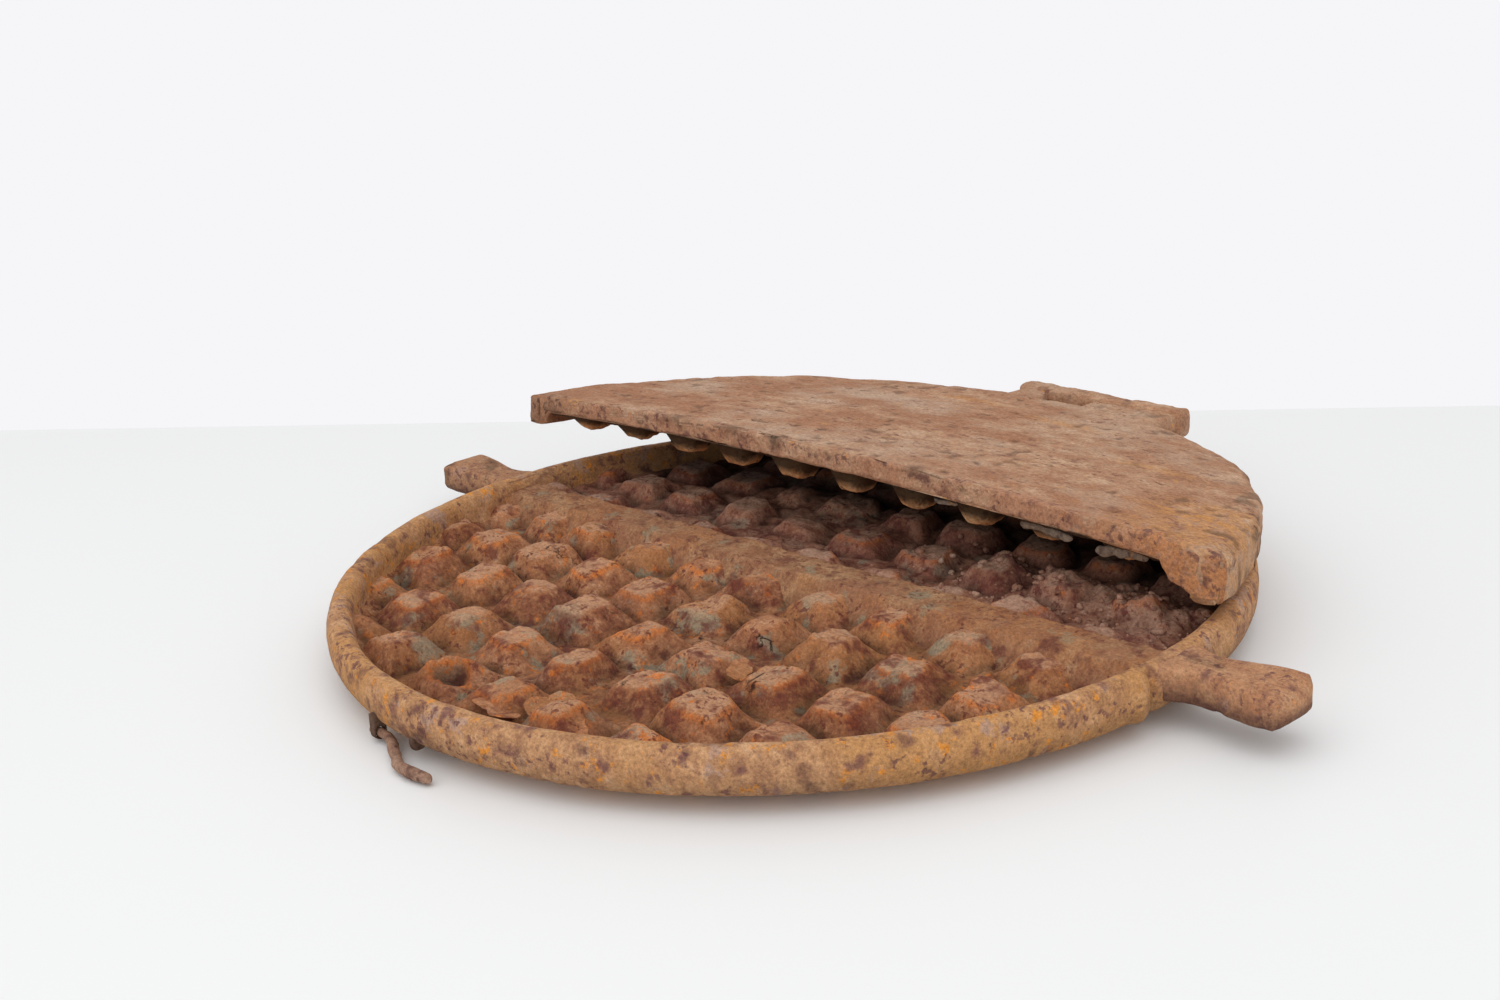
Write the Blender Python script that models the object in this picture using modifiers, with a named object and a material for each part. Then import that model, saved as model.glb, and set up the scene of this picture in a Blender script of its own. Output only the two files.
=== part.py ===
"""Cast iron stovetop waffle iron, found open: a round studded base, its loose half round lid, and a catch wire.

Blender 4.5, metres, +Z up. The origin is the centre of the base's flat underside, which stands on the table.
+X runs along the rib to the near handle and +Y runs to the half that the lid covers.
"""
import math

import bmesh
import bpy
from mathutils import Euler, Vector

# Base casting: a shallow dish with a rounded rim
RIM_OUTER_RADIUS = 0.125
RIM_WIDTH = 0.007
RIM_DEPTH = 0.0115
RIM_MIDDLE_HEIGHT = 0.010
RIM_SQUARENESS = 2.5
UNDERSIDE_INSET = 0.013
FLOOR_HEIGHT = 0.0035
FLOOR_FILLET = 0.003
RIM_SECTION_POINTS = 16
TURNED_STEPS = 72

# Rib across the base, which parts it into two half round fields
RIB_TOP_WIDTH = 0.012
RIB_FOOT_WIDTH = 0.024
RIB_TOP_HEIGHT = 0.0127

# Studs of the base, blunt pyramids in a square grid on both fields
STUD_PITCH_ALONG = 0.0234
STUD_PITCH_ACROSS = 0.0221
STUD_FIRST_ROW = 0.0096
STUD_TOP_HEIGHT = 0.0102
STUD_TOP_SIDE = 0.0085
STUD_FOOT_SIDE = 0.0190
STUD_EDGE_MARGIN = 0.004

# Handles, one at each end of the rib, a hair below the top of the rim. The length is what sticks out
HANDLE_LENGTH = 0.029
HANDLE_ROOT_INSET = 0.0045
HANDLE_ROOT_WIDTH = 0.019
HANDLE_NECK_LENGTH = 0.005
HANDLE_NECK_WIDTH = 0.0125
HANDLE_TIP_ROUND = 0.005
HANDLE_TIP_WIDTH = 0.0172
HANDLE_THICKNESS = 0.0088
HANDLE_DROP = 0.0004
HANDLE_EDGE_ROUNDING = 0.002
HANDLE_SIDE_POINTS = 7
HANDLE_END_POINTS = 6

# Ears under the front of the rim, drilled for the catch wire
EAR_PLACES_ALONG = (-0.0175, -0.0010)
EAR_THICKNESS = 0.003
EAR_RADIUS = 0.0022
EAR_ROOT_HEIGHT = 0.0085
EAR_ARC_POINTS = 12
PIVOT_INSET = 0.0020
PIVOT_HEIGHT = 0.0024

# Catch wire: its thin pivot end lies in the ears, and a leg and a bent foot stick out in front
WIRE_PIVOT_RADIUS = 0.0011
WIRE_RADIUS = 0.0016
WIRE_HOLE_CLEARANCE = 0.0003
WIRE_PIVOT_OVERRUN = 0.0018
WIRE_BEND_PLACE = (-0.0118, 0.0)
WIRE_KNEE_PLACE = (0.0017, -0.0072)
WIRE_TOE_PLACE = (0.0128, -0.0062)
WIRE_TABLE_CLEARANCE = 0.0001
WIRE_CORNER_POINTS = 5

# Half round lid, as wide as the base: a crowned plate, with a lip along its arc only
LID_RADIUS = RIM_OUTER_RADIUS
LID_EDGE_OFFSET = 0.008
LID_THICKNESS = 0.006
LID_CROWN = 0.0042
LID_SHOULDER = 0.004
LIP_DEPTH = 0.012
LIP_WIDTH = 0.009
LIP_DRAFT = 0.0025
LIP_ROUNDING = 0.0018
CROWN_RINGS = 6
SHOULDER_POINTS = 5

# Studs of the lid, in the same pattern as those of the base but cast at their own pitch
LID_STUD_PITCH = 0.0217
LID_STUD_SHIFT = 0.0070
LID_STUD_FIRST_ROW = 0.0170
LID_STUD_TIP_DEPTH = 0.0085
LID_STUD_TOP_SIDE = 0.0085
LID_STUD_FOOT_SIDE = 0.0190
LID_STUD_CLEARANCE = 0.005

# Bar behind the lid, held off its arc by two webs
BAR_LENGTH = 0.061
BAR_SHIFT = 0.0145
BAR_WIDTH = 0.008
BAR_HEIGHT = 0.009
BAR_GAP = 0.0030
BAR_RISE = 0.0018
BAR_ROUNDING = 0.0015
WEB_LEFT_WIDTH = 0.013
WEB_RIGHT_WIDTH = 0.031
WEB_HEIGHT = 0.0055
WEB_ROOT = 0.016

# The lid's resting place on the base: pushed back, turned a little, its back edge down on the rim
LID_REST_SHIFT = (-0.0005, 0.0071)
LID_REST_GAP = 0.0003
LID_REST_STEPS = 90
LID_LEAN_BACK = math.radians(4.46)
LID_LEAN_RIGHT = math.radians(1.78)
LID_TURN = math.radians(2.2)

# What every cut or join runs past the face that it works on
OVERRUN = 0.001
MERGE_DISTANCE = 0.00001


def clear_scene():
    for old in list(bpy.data.objects):
        bpy.data.objects.remove(old)


def make_collection(name):
    collection = bpy.data.collections.new(name)
    bpy.context.scene.collection.children.link(collection)
    return collection


def make_material(name, colour, roughness, metallic):
    material = bpy.data.materials.new(name)
    material.use_nodes = True
    shader = material.node_tree.nodes["Principled BSDF"]
    shader.inputs["Base Color"].default_value = (*colour, 1.0)
    shader.inputs["Roughness"].default_value = roughness
    shader.inputs["Metallic"].default_value = metallic
    return material


def link_mesh(name, mesh, collection):
    piece = bpy.data.objects.new(name, mesh)
    collection.objects.link(piece)
    return piece


def mark_as_cutter(piece):
    piece.hide_render = True
    piece.display_type = "WIRE"


def add_boolean(piece, operation, other, solver="EXACT"):
    modifier = piece.modifiers.new(f"{operation.lower()} {other.name}", "BOOLEAN")
    modifier.operation = operation
    modifier.solver = solver
    modifier.object = other


def superellipse(share, half_width, half_height, squareness):
    """One point of a rounded section. A share of 0 is its outer side and 0.25 its top."""
    angle = share * math.tau
    across = math.copysign(abs(math.cos(angle)) ** (2 / squareness), math.cos(angle))
    up = math.copysign(abs(math.sin(angle)) ** (2 / squareness), math.sin(angle))
    return half_width * across, half_height * up


def turned_piece(name, profile, collection):
    """Turns a profile of (radius, height) points about Z. It starts at the top, on the axis, and ends below."""
    mesh = bpy.data.meshes.new(name)
    points = [(radius, 0.0, height) for radius, height in profile]
    edges = [(i, i + 1) for i in range(len(points) - 1)]
    mesh.from_pydata(points, edges, [])
    piece = link_mesh(name, mesh, collection)
    screw = piece.modifiers.new("turn", "SCREW")
    screw.axis = "Z"
    screw.steps = TURNED_STEPS
    screw.render_steps = TURNED_STEPS
    screw.use_merge_vertices = True
    screw.merge_threshold = MERGE_DISTANCE
    return piece


def outline_piece(name, outline, thickness, rounding, collection):
    """A flat outline in its own XY plane, extruded to a thickness about that plane, with rounded edges."""
    curve = bpy.data.curves.new(name, "CURVE")
    curve.dimensions = "2D"
    curve.fill_mode = "BOTH"
    curve.extrude = thickness / 2 - rounding
    curve.bevel_depth = rounding
    curve.offset = -rounding
    curve.bevel_resolution = 2
    spline = curve.splines.new("POLY")
    spline.points.add(len(outline) - 1)
    for point, (across, up) in zip(spline.points, outline):
        point.co = (across, up, 0.0, 1.0)
    spline.use_cyclic_u = True
    return mesh_from_curve(link_mesh(name, curve, collection), collection)


def mesh_from_curve(drawn, collection):
    """Replaces a curve by its mesh, with its caps welded on."""
    bpy.context.view_layer.update()
    evaluated = drawn.evaluated_get(bpy.context.evaluated_depsgraph_get())
    mesh = bpy.data.meshes.new_from_object(evaluated)
    shape = bmesh.new()
    shape.from_mesh(mesh)
    bmesh.ops.remove_doubles(shape, verts=shape.verts, dist=MERGE_DISTANCE)
    bmesh.ops.recalc_face_normals(shape, faces=shape.faces)
    shape.to_mesh(mesh)
    shape.free()
    name = drawn.name
    place = drawn.matrix_world.copy()
    bpy.data.objects.remove(drawn)
    piece = link_mesh(name, mesh, collection)
    piece.matrix_world = place
    return piece


def stud_field(name, places, foot_side, top_side, foot_heights, top_heights, collection):
    """Blunt four sided pyramids, one at each place. A top may lie above or below its foot."""
    shape = bmesh.new()
    for (along, across), foot_height, top_height in zip(places, foot_heights, top_heights):
        rise = top_height - foot_height
        made = bmesh.ops.create_cone(
            shape,
            cap_ends=True,
            segments=4,
            radius1=foot_side / math.sqrt(2),
            radius2=top_side / math.sqrt(2),
            depth=abs(rise),
        )
        corners = made["verts"]
        bmesh.ops.rotate(shape, verts=corners, cent=Vector(), matrix=Euler((0, 0, math.pi / 4)).to_matrix())
        if rise < 0:
            bmesh.ops.rotate(shape, verts=corners, cent=Vector(), matrix=Euler((math.pi, 0, 0)).to_matrix())
        bmesh.ops.translate(shape, verts=corners, vec=(along, across, foot_height + rise / 2))
    mesh = bpy.data.meshes.new(name)
    shape.to_mesh(mesh)
    shape.free()
    return link_mesh(name, mesh, collection)


def box_piece(name, low, high, collection):
    """A box between two corners."""
    size = [b - a for a, b in zip(low, high)]
    middle = [(a + b) / 2 for a, b in zip(low, high)]
    shape = bmesh.new()
    bmesh.ops.create_cube(shape, size=1.0)
    bmesh.ops.scale(shape, verts=shape.verts, vec=size)
    bmesh.ops.translate(shape, verts=shape.verts, vec=middle)
    mesh = bpy.data.meshes.new(name)
    shape.to_mesh(mesh)
    shape.free()
    return link_mesh(name, mesh, collection)


def shade_round(piece):
    piece.data.shade_smooth()
    piece.data.set_sharp_from_angle(angle=math.radians(35))


def rim_middle_radius():
    return RIM_OUTER_RADIUS - RIM_WIDTH / 2


def pivot_outward():
    """How far out of the middle the catch wire's pivot lies, just inside the rim's edge."""
    return RIM_OUTER_RADIUS - PIVOT_INSET


def base_profile():
    """The dish's section: floor, fillet, over the rim, under it, down the skirt and back to the axis."""
    middle = rim_middle_radius()
    inner = RIM_OUTER_RADIUS - RIM_WIDTH
    points = [(0.0, FLOOR_HEIGHT)]
    for share in (0.0, 1 / 3, 2 / 3):
        angle = share * math.pi / 2
        out = inner - FLOOR_FILLET * (1 - math.sin(angle))
        up = FLOOR_HEIGHT + FLOOR_FILLET * (1 - math.cos(angle))
        points.append((out, up))
    for step in range(RIM_SECTION_POINTS + 1):
        share = 0.5 - 0.75 * step / RIM_SECTION_POINTS
        across, up = superellipse(share, RIM_WIDTH / 2, RIM_DEPTH / 2, RIM_SQUARENESS)
        points.append((middle + across, RIM_MIDDLE_HEIGHT + up))
    points.append((RIM_OUTER_RADIUS - UNDERSIDE_INSET, 0.0))
    points.append((0.0, 0.0))
    return points


def base_stud_places():
    """Grid places on both fields whose stud reaches at most a little into the rim."""
    reach = RIM_OUTER_RADIUS - RIM_WIDTH + STUD_EDGE_MARGIN
    places = []
    columns = int(reach / STUD_PITCH_ALONG) + 1
    rows = int(reach / STUD_PITCH_ACROSS) + 1
    for column in range(-columns, columns + 1):
        for row in range(rows):
            along = column * STUD_PITCH_ALONG
            across = STUD_FIRST_ROW + row * STUD_PITCH_ACROSS
            if math.hypot(along, across) < reach:
                places += [(along, across), (along, -across)]
    return places


def handle_outline():
    """Half of the fishtail outline from rim to tip, then its mirror image back again."""
    side = []
    tip = RIM_OUTER_RADIUS + HANDLE_LENGTH - HANDLE_TIP_ROUND
    rows = (
        (RIM_OUTER_RADIUS - HANDLE_ROOT_INSET, HANDLE_ROOT_WIDTH),
        (RIM_OUTER_RADIUS + HANDLE_NECK_LENGTH, HANDLE_NECK_WIDTH),
        (tip, HANDLE_TIP_WIDTH),
    )
    for (near, near_width), (far, far_width) in zip(rows, rows[1:]):
        for step in range(HANDLE_SIDE_POINTS):
            share = step / HANDLE_SIDE_POINTS
            ease = share * share * (3 - 2 * share)
            width = near_width + (far_width - near_width) * ease
            side.append((near + (far - near) * share, width / 2))
    for step in range(HANDLE_END_POINTS + 1):
        angle = step / HANDLE_END_POINTS * math.pi / 2
        along = tip + HANDLE_TIP_ROUND * math.sin(angle)
        side.append((along, HANDLE_TIP_WIDTH / 2 * math.cos(angle) ** 0.45))
    mirrored = [(along, -across) for along, across in reversed(side[:-1])]
    return side + mirrored


def ear_outline():
    """A tongue that hangs from the rim, round at its lower end, drawn as (outward, up)."""
    points = []
    for step in range(EAR_ARC_POINTS + 1):
        angle = math.pi + step / EAR_ARC_POINTS * math.pi
        points.append((EAR_RADIUS * math.cos(angle), PIVOT_HEIGHT + EAR_RADIUS * math.sin(angle)))
    points.append((EAR_RADIUS, EAR_ROOT_HEIGHT))
    points.append((-EAR_RADIUS, EAR_ROOT_HEIGHT))
    return points


def make_base(parts, cutters, iron):
    base = turned_piece("base_plate", base_profile(), parts)

    # Inside of the dish, which trims the rib and the outer studs to the rim
    inner = RIM_OUTER_RADIUS - RIM_WIDTH
    keeper_profile = [
        (0.0, RIM_MIDDLE_HEIGHT + RIM_DEPTH),
        (rim_middle_radius(), RIM_MIDDLE_HEIGHT + RIM_DEPTH),
        (rim_middle_radius(), RIM_MIDDLE_HEIGHT - FLOOR_FILLET),
        (inner - OVERRUN, FLOOR_HEIGHT + OVERRUN / 2),
        (inner - OVERRUN, FLOOR_HEIGHT - OVERRUN),
        (0.0, FLOOR_HEIGHT - OVERRUN),
    ]
    keeper = turned_piece("inside_of_dish", keeper_profile, cutters)
    mark_as_cutter(keeper)

    half_top = RIB_TOP_WIDTH / 2
    half_foot = RIB_FOOT_WIDTH / 2
    foot = FLOOR_HEIGHT - OVERRUN / 2
    shoulder = RIB_TOP_HEIGHT - HANDLE_EDGE_ROUNDING / 2
    rib_outline = [
        (-half_foot, foot),
        (half_foot, foot),
        (half_top + HANDLE_EDGE_ROUNDING / 2, shoulder),
        (half_top - HANDLE_EDGE_ROUNDING / 2, RIB_TOP_HEIGHT),
        (-half_top + HANDLE_EDGE_ROUNDING / 2, RIB_TOP_HEIGHT),
        (-half_top - HANDLE_EDGE_ROUNDING / 2, shoulder),
    ]
    rib = outline_piece("rib", rib_outline, 2 * RIM_OUTER_RADIUS, 0.0, cutters)
    rib.rotation_euler = (math.pi / 2, 0, math.pi / 2)
    add_boolean(rib, "INTERSECT", keeper)
    mark_as_cutter(rib)

    places = base_stud_places()
    feet = [foot] * len(places)
    tops = [STUD_TOP_HEIGHT] * len(places)
    studs = stud_field("studs", places, STUD_FOOT_SIDE, STUD_TOP_SIDE, feet, tops, cutters)
    add_boolean(studs, "INTERSECT", keeper)
    mark_as_cutter(studs)

    add_boolean(base, "UNION", rib)
    add_boolean(base, "UNION", studs)

    handle_middle = RIM_MIDDLE_HEIGHT + RIM_DEPTH / 2 - HANDLE_DROP - HANDLE_THICKNESS / 2
    for name, turn in (("near_handle", 0.0), ("far_handle", math.pi)):
        handle = outline_piece(name, handle_outline(), HANDLE_THICKNESS, HANDLE_EDGE_ROUNDING, cutters)
        handle.location = (0.0, 0.0, handle_middle)
        handle.rotation_euler = (0.0, 0.0, turn)
        mark_as_cutter(handle)
        # The exact solver drops the dish where the handle grazes the rim, so this union uses the other one
        add_boolean(base, "UNION", handle, "MANIFOLD")

    for index, along in enumerate(EAR_PLACES_ALONG):
        ear = outline_piece(f"ear_{index + 1}", ear_outline(), EAR_THICKNESS, 0.0, cutters)
        ear.rotation_euler = (math.pi / 2, 0, math.pi / 2)
        ear.location = (along, -pivot_outward(), 0.0)
        mark_as_cutter(ear)
        add_boolean(base, "UNION", ear)

    drill = pivot_drill(cutters)
    add_boolean(base, "DIFFERENCE", drill)
    base.data.materials.append(iron)
    shade_round(base)
    return base


def pivot_drill(cutters):
    """The drill for both ears, which runs along X through the pivot."""
    first = min(EAR_PLACES_ALONG) - EAR_THICKNESS
    last = max(EAR_PLACES_ALONG) + EAR_THICKNESS
    shape = bmesh.new()
    radius = WIRE_PIVOT_RADIUS + WIRE_HOLE_CLEARANCE
    bmesh.ops.create_cone(shape, cap_ends=True, segments=16, radius1=radius, radius2=radius, depth=last - first)
    bmesh.ops.rotate(shape, verts=shape.verts, cent=Vector(), matrix=Euler((0, math.pi / 2, 0)).to_matrix())
    mesh = bpy.data.meshes.new("pivot_drill")
    shape.to_mesh(mesh)
    shape.free()
    drill = link_mesh("pivot_drill", mesh, cutters)
    drill.location = ((first + last) / 2, -pivot_outward(), PIVOT_HEIGHT)
    mark_as_cutter(drill)
    return drill


def crown_height(radius):
    """Height of the lid's crowned top over the plane of its edge."""
    return LID_CROWN * (1 - (radius / LID_RADIUS) ** 2)


def lid_stud_field_radius():
    return LID_RADIUS - LIP_WIDTH - LIP_DRAFT - LID_STUD_CLEARANCE


def lid_profile():
    """The lid's section: over the crown, round the shoulder, down the lip, and back under the plate."""
    shoulder_start = LID_RADIUS - LID_SHOULDER
    points = []
    for ring in range(CROWN_RINGS + 1):
        radius = shoulder_start * ring / CROWN_RINGS
        points.append((radius, crown_height(radius)))
    start_height = crown_height(shoulder_start)
    for step in range(1, SHOULDER_POINTS + 1):
        angle = step / SHOULDER_POINTS * math.pi / 2
        out = shoulder_start + LID_SHOULDER * math.sin(angle)
        points.append((out, start_height - LID_SHOULDER * (1 - math.cos(angle))))
    points.append((LID_RADIUS, -LIP_DEPTH + LIP_ROUNDING))
    points.append((LID_RADIUS - LIP_ROUNDING, -LIP_DEPTH))
    points.append((LID_RADIUS - LIP_WIDTH + LIP_ROUNDING, -LIP_DEPTH))
    points.append((LID_RADIUS - LIP_WIDTH, -LIP_DEPTH + LIP_ROUNDING))
    inner = LID_RADIUS - LIP_WIDTH - LIP_DRAFT
    for ring in range(CROWN_RINGS, -1, -1):
        radius = inner * ring / CROWN_RINGS
        points.append((radius, crown_height(radius) - LID_THICKNESS))
    return points


def lid_stud_places():
    places = []
    columns = int(LID_RADIUS / LID_STUD_PITCH) + 1
    rows = int(LID_RADIUS / LID_STUD_PITCH) + 1
    for column in range(-columns, columns + 1):
        for row in range(rows):
            along = column * LID_STUD_PITCH + LID_STUD_SHIFT
            across = LID_EDGE_OFFSET + LID_STUD_FIRST_ROW - LID_STUD_FOOT_SIDE / 2 + row * LID_STUD_PITCH
            if math.hypot(along, across) < lid_stud_field_radius():
                places.append((along, across))
    return places


def lid_lean():
    return Euler((-LID_LEAN_BACK, LID_LEAN_RIGHT, LID_TURN))


def rim_top_height(radius):
    """Height of the rim's rounded upper side at a radius, or the table's outside it."""
    across = abs(radius - rim_middle_radius()) / (RIM_WIDTH / 2)
    if across > 1:
        return 0.0
    up = (1 - across**RIM_SQUARENESS) ** (1 / RIM_SQUARENESS)
    return RIM_MIDDLE_HEIGHT + RIM_DEPTH / 2 * up


def lid_rest_height():
    """The lid's height where its leaning lip first comes down on the rim, found by walking round the lip."""
    widths = (LIP_ROUNDING, LIP_WIDTH / 4, LIP_WIDTH / 2, LIP_WIDTH * 3 / 4, LIP_WIDTH - LIP_ROUNDING)
    heights = []
    for width in widths:
        radius = LID_RADIUS - width
        for step in range(1, LID_REST_STEPS):
            angle = math.pi * step / LID_REST_STEPS
            if radius * math.sin(angle) < LID_EDGE_OFFSET:
                continue
            point = Vector((radius * math.cos(angle), radius * math.sin(angle), -LIP_DEPTH))
            point.rotate(lid_lean())
            out = math.hypot(point.x + LID_REST_SHIFT[0], point.y + LID_REST_SHIFT[1])
            heights.append(rim_top_height(out) - point.z)
    return max(heights) + LID_REST_GAP


def make_lid(parts, cutters, iron):
    lid = turned_piece("half_lid", lid_profile(), parts)
    front = LID_EDGE_OFFSET
    reach = LID_RADIUS + OVERRUN

    missing_half = box_piece(
        "missing_half",
        (-reach, -reach, -LIP_DEPTH - OVERRUN),
        (reach, front, LID_CROWN + OVERRUN),
        cutters,
    )
    mark_as_cutter(missing_half)
    add_boolean(lid, "DIFFERENCE", missing_half)

    keeper_profile = [
        (0.0, LID_CROWN),
        (lid_stud_field_radius(), LID_CROWN),
        (lid_stud_field_radius(), -LIP_DEPTH),
        (0.0, -LIP_DEPTH),
    ]
    keeper = turned_piece("inside_of_lip", keeper_profile, cutters)
    mark_as_cutter(keeper)
    places = lid_stud_places()
    feet = [crown_height(math.hypot(along, across)) - LID_THICKNESS / 2 for along, across in places]
    tips = [-LID_STUD_TIP_DEPTH] * len(places)
    studs = stud_field("lid_studs", places, LID_STUD_FOOT_SIDE, LID_STUD_TOP_SIDE, feet, tips, cutters)
    add_boolean(studs, "INTERSECT", keeper)
    add_boolean(studs, "DIFFERENCE", missing_half)
    mark_as_cutter(studs)
    add_boolean(lid, "UNION", studs)

    left = BAR_SHIFT - BAR_LENGTH / 2
    right = BAR_SHIFT + BAR_LENGTH / 2
    bar_front = LID_RADIUS + BAR_GAP
    bar = box_piece(
        "rear_bar",
        (left, bar_front, BAR_RISE - BAR_HEIGHT),
        (right, bar_front + BAR_WIDTH, BAR_RISE),
        cutters,
    )
    rounding = bar.modifiers.new("rounding", "BEVEL")
    rounding.width = BAR_ROUNDING
    rounding.segments = 2
    mark_as_cutter(bar)
    add_boolean(lid, "UNION", bar)
    webs = (
        ("left_web", left + BAR_ROUNDING, left + WEB_LEFT_WIDTH),
        ("right_web", right - WEB_RIGHT_WIDTH, right - BAR_ROUNDING),
    )
    for name, start, end in webs:
        web = box_piece(
            name,
            (start, LID_RADIUS - WEB_ROOT, -WEB_HEIGHT),
            (end, bar_front + BAR_WIDTH / 2, 0.0),
            cutters,
        )
        mark_as_cutter(web)
        add_boolean(lid, "UNION", web)

    # The lid is made level and about its own centre, and this empty lays it down where it was found
    pose = bpy.data.objects.new("lid_rest", None)
    parts.objects.link(pose)
    pose.location = (*LID_REST_SHIFT, lid_rest_height())
    pose.rotation_euler = lid_lean()
    for piece in (lid, studs, keeper, missing_half, bar, *[cutters.objects[name] for name, _, _ in webs]):
        piece.parent = pose
    lid.data.materials.append(iron)
    shade_round(lid)
    return lid


def wire_route():
    """The wire's middle line about its pivot: (place, radius) pairs with rounded corners."""
    first_ear = min(EAR_PLACES_ALONG)
    low = WIRE_RADIUS + WIRE_TABLE_CLEARANCE - PIVOT_HEIGHT
    start = Vector((first_ear - EAR_THICKNESS / 2 - WIRE_PIVOT_OVERRUN, 0.0, 0.0))
    bend = Vector((*WIRE_BEND_PLACE, 0.0))
    knee = Vector((*WIRE_KNEE_PLACE, low))
    toe = Vector((*WIRE_TOE_PLACE, low))
    route = [(start, WIRE_PIVOT_RADIUS)]
    corners = ((start, bend, knee), (bend, knee, toe))
    for before, corner, after in corners:
        enter = corner + (before - corner).normalized() * 2 * WIRE_RADIUS
        leave = corner + (after - corner).normalized() * 2 * WIRE_RADIUS
        for step in range(WIRE_CORNER_POINTS + 1):
            share = step / WIRE_CORNER_POINTS
            point = enter.lerp(corner, share).lerp(corner.lerp(leave, share), share)
            radius = WIRE_RADIUS
            if corner is bend:
                radius = WIRE_PIVOT_RADIUS + (WIRE_RADIUS - WIRE_PIVOT_RADIUS) * share
            route.append((point, radius))
    route.append((toe, WIRE_RADIUS))
    return route


def make_wire(parts, iron):
    route = wire_route()
    curve = bpy.data.curves.new("catch_wire", "CURVE")
    curve.dimensions = "3D"
    curve.bevel_depth = WIRE_RADIUS
    curve.bevel_resolution = 2
    curve.use_fill_caps = True
    spline = curve.splines.new("POLY")
    spline.points.add(len(route) - 1)
    for point, (place, radius) in zip(spline.points, route):
        point.co = (*place, 1.0)
        point.radius = radius / WIRE_RADIUS
    curve.materials.append(iron)
    wire = link_mesh("catch_wire", curve, parts)
    wire.location = (0.0, -pivot_outward(), PIVOT_HEIGHT)
    return wire


def build():
    clear_scene()
    parts = make_collection("stovetop_waffle_iron")
    cutters = make_collection("cutters")
    base_iron = make_material("rusted_cast_iron", (0.30, 0.155, 0.075), 0.85, 0.0)
    lid_iron = make_material("dusty_rusted_iron", (0.34, 0.20, 0.125), 0.88, 0.0)
    wire_iron = make_material("rusted_wire", (0.22, 0.115, 0.07), 0.85, 0.0)
    make_base(parts, cutters, base_iron)
    make_lid(parts, cutters, lid_iron)
    make_wire(parts, wire_iron)


build()
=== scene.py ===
"""Rusted stovetop waffle iron, found open: its studded base, its loose half lid and its catch wire."""
import math

import bpy
import numpy as np
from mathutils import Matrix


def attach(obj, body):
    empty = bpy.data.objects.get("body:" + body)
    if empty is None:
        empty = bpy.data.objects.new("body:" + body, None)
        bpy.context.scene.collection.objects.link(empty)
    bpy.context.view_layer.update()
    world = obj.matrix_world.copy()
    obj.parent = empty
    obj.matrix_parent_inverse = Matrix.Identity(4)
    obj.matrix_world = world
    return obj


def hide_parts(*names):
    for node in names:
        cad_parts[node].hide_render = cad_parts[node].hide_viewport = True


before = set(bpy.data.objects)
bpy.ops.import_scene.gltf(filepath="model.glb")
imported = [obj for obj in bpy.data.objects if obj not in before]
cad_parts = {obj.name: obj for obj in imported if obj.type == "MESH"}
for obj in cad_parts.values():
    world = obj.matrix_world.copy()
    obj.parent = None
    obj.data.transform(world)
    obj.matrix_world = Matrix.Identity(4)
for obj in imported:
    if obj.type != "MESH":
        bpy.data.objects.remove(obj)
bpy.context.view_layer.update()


# ---- Base: rim and dish
# The base is one iron casting, a shallow dish whose edge is a tall rounded rim. It was cast in sand, so
# nothing on it is sharp, and decades in the ground left it pitted and coated with ochre rust.
RIM_MIDDLE_RADIUS = 0.1215
RIM_HALF_WIDTH = 0.0035
RIM_HALF_HEIGHT = 0.00575
RIM_MIDDLE_HEIGHT = 0.0100
RIM_SQUARENESS = 2.5
UNDERSIDE_RADIUS = 0.112
DISH_FLOOR = 0.0030


def as_seen(red, green, blue):
    """A colour as a screen shows it, 0 to 255, turned into the linear value that a shader takes."""
    share = np.array((red, green, blue)) / 255
    return (*np.where(share <= 0.04045, share / 12.92, ((share + 0.055) / 1.055) ** 2.4).tolist(), 1.0)


def lattice_value(cell, seed):
    """A value from 0 to 1 for each cube of a lattice, from its three whole numbers mixed with large primes."""
    mixed = cell[..., 0] * 73856093 ^ cell[..., 1] * 19349663 ^ cell[..., 2] * 83492791 ^ seed * 2654435761
    mixed = (mixed ^ mixed >> 13) * 1274126177 & 0xFFFFFFFF
    mixed = (mixed ^ mixed >> 15) * 2246822519 & 0xFFFFFFFF
    return (mixed >> 8 & 0xFFFF) / 65535


def crust(points, size, octaves, seed):
    """Lumps of rust, from -1 to 1. Each octave blends the values of a lattice's corners by smooth steps, and
    each has half the size and half the strength of the one before."""
    total = np.zeros(points.shape[:-1])
    for octave in range(octaves):
        place = points * (2**octave / size) + 0.37 * octave
        cell = np.floor(place).astype(np.int64)
        part = place - cell
        part = part * part * (3 - 2 * part)
        for corner in range(8):
            step = np.array([corner & 1, corner >> 1 & 1, corner >> 2 & 1])
            weight = np.where(step == 1, part, 1 - part).prod(axis=-1)
            total += weight * (2 * lattice_value(cell + step, seed + octave) - 1) / 2**octave
    return total


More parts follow.
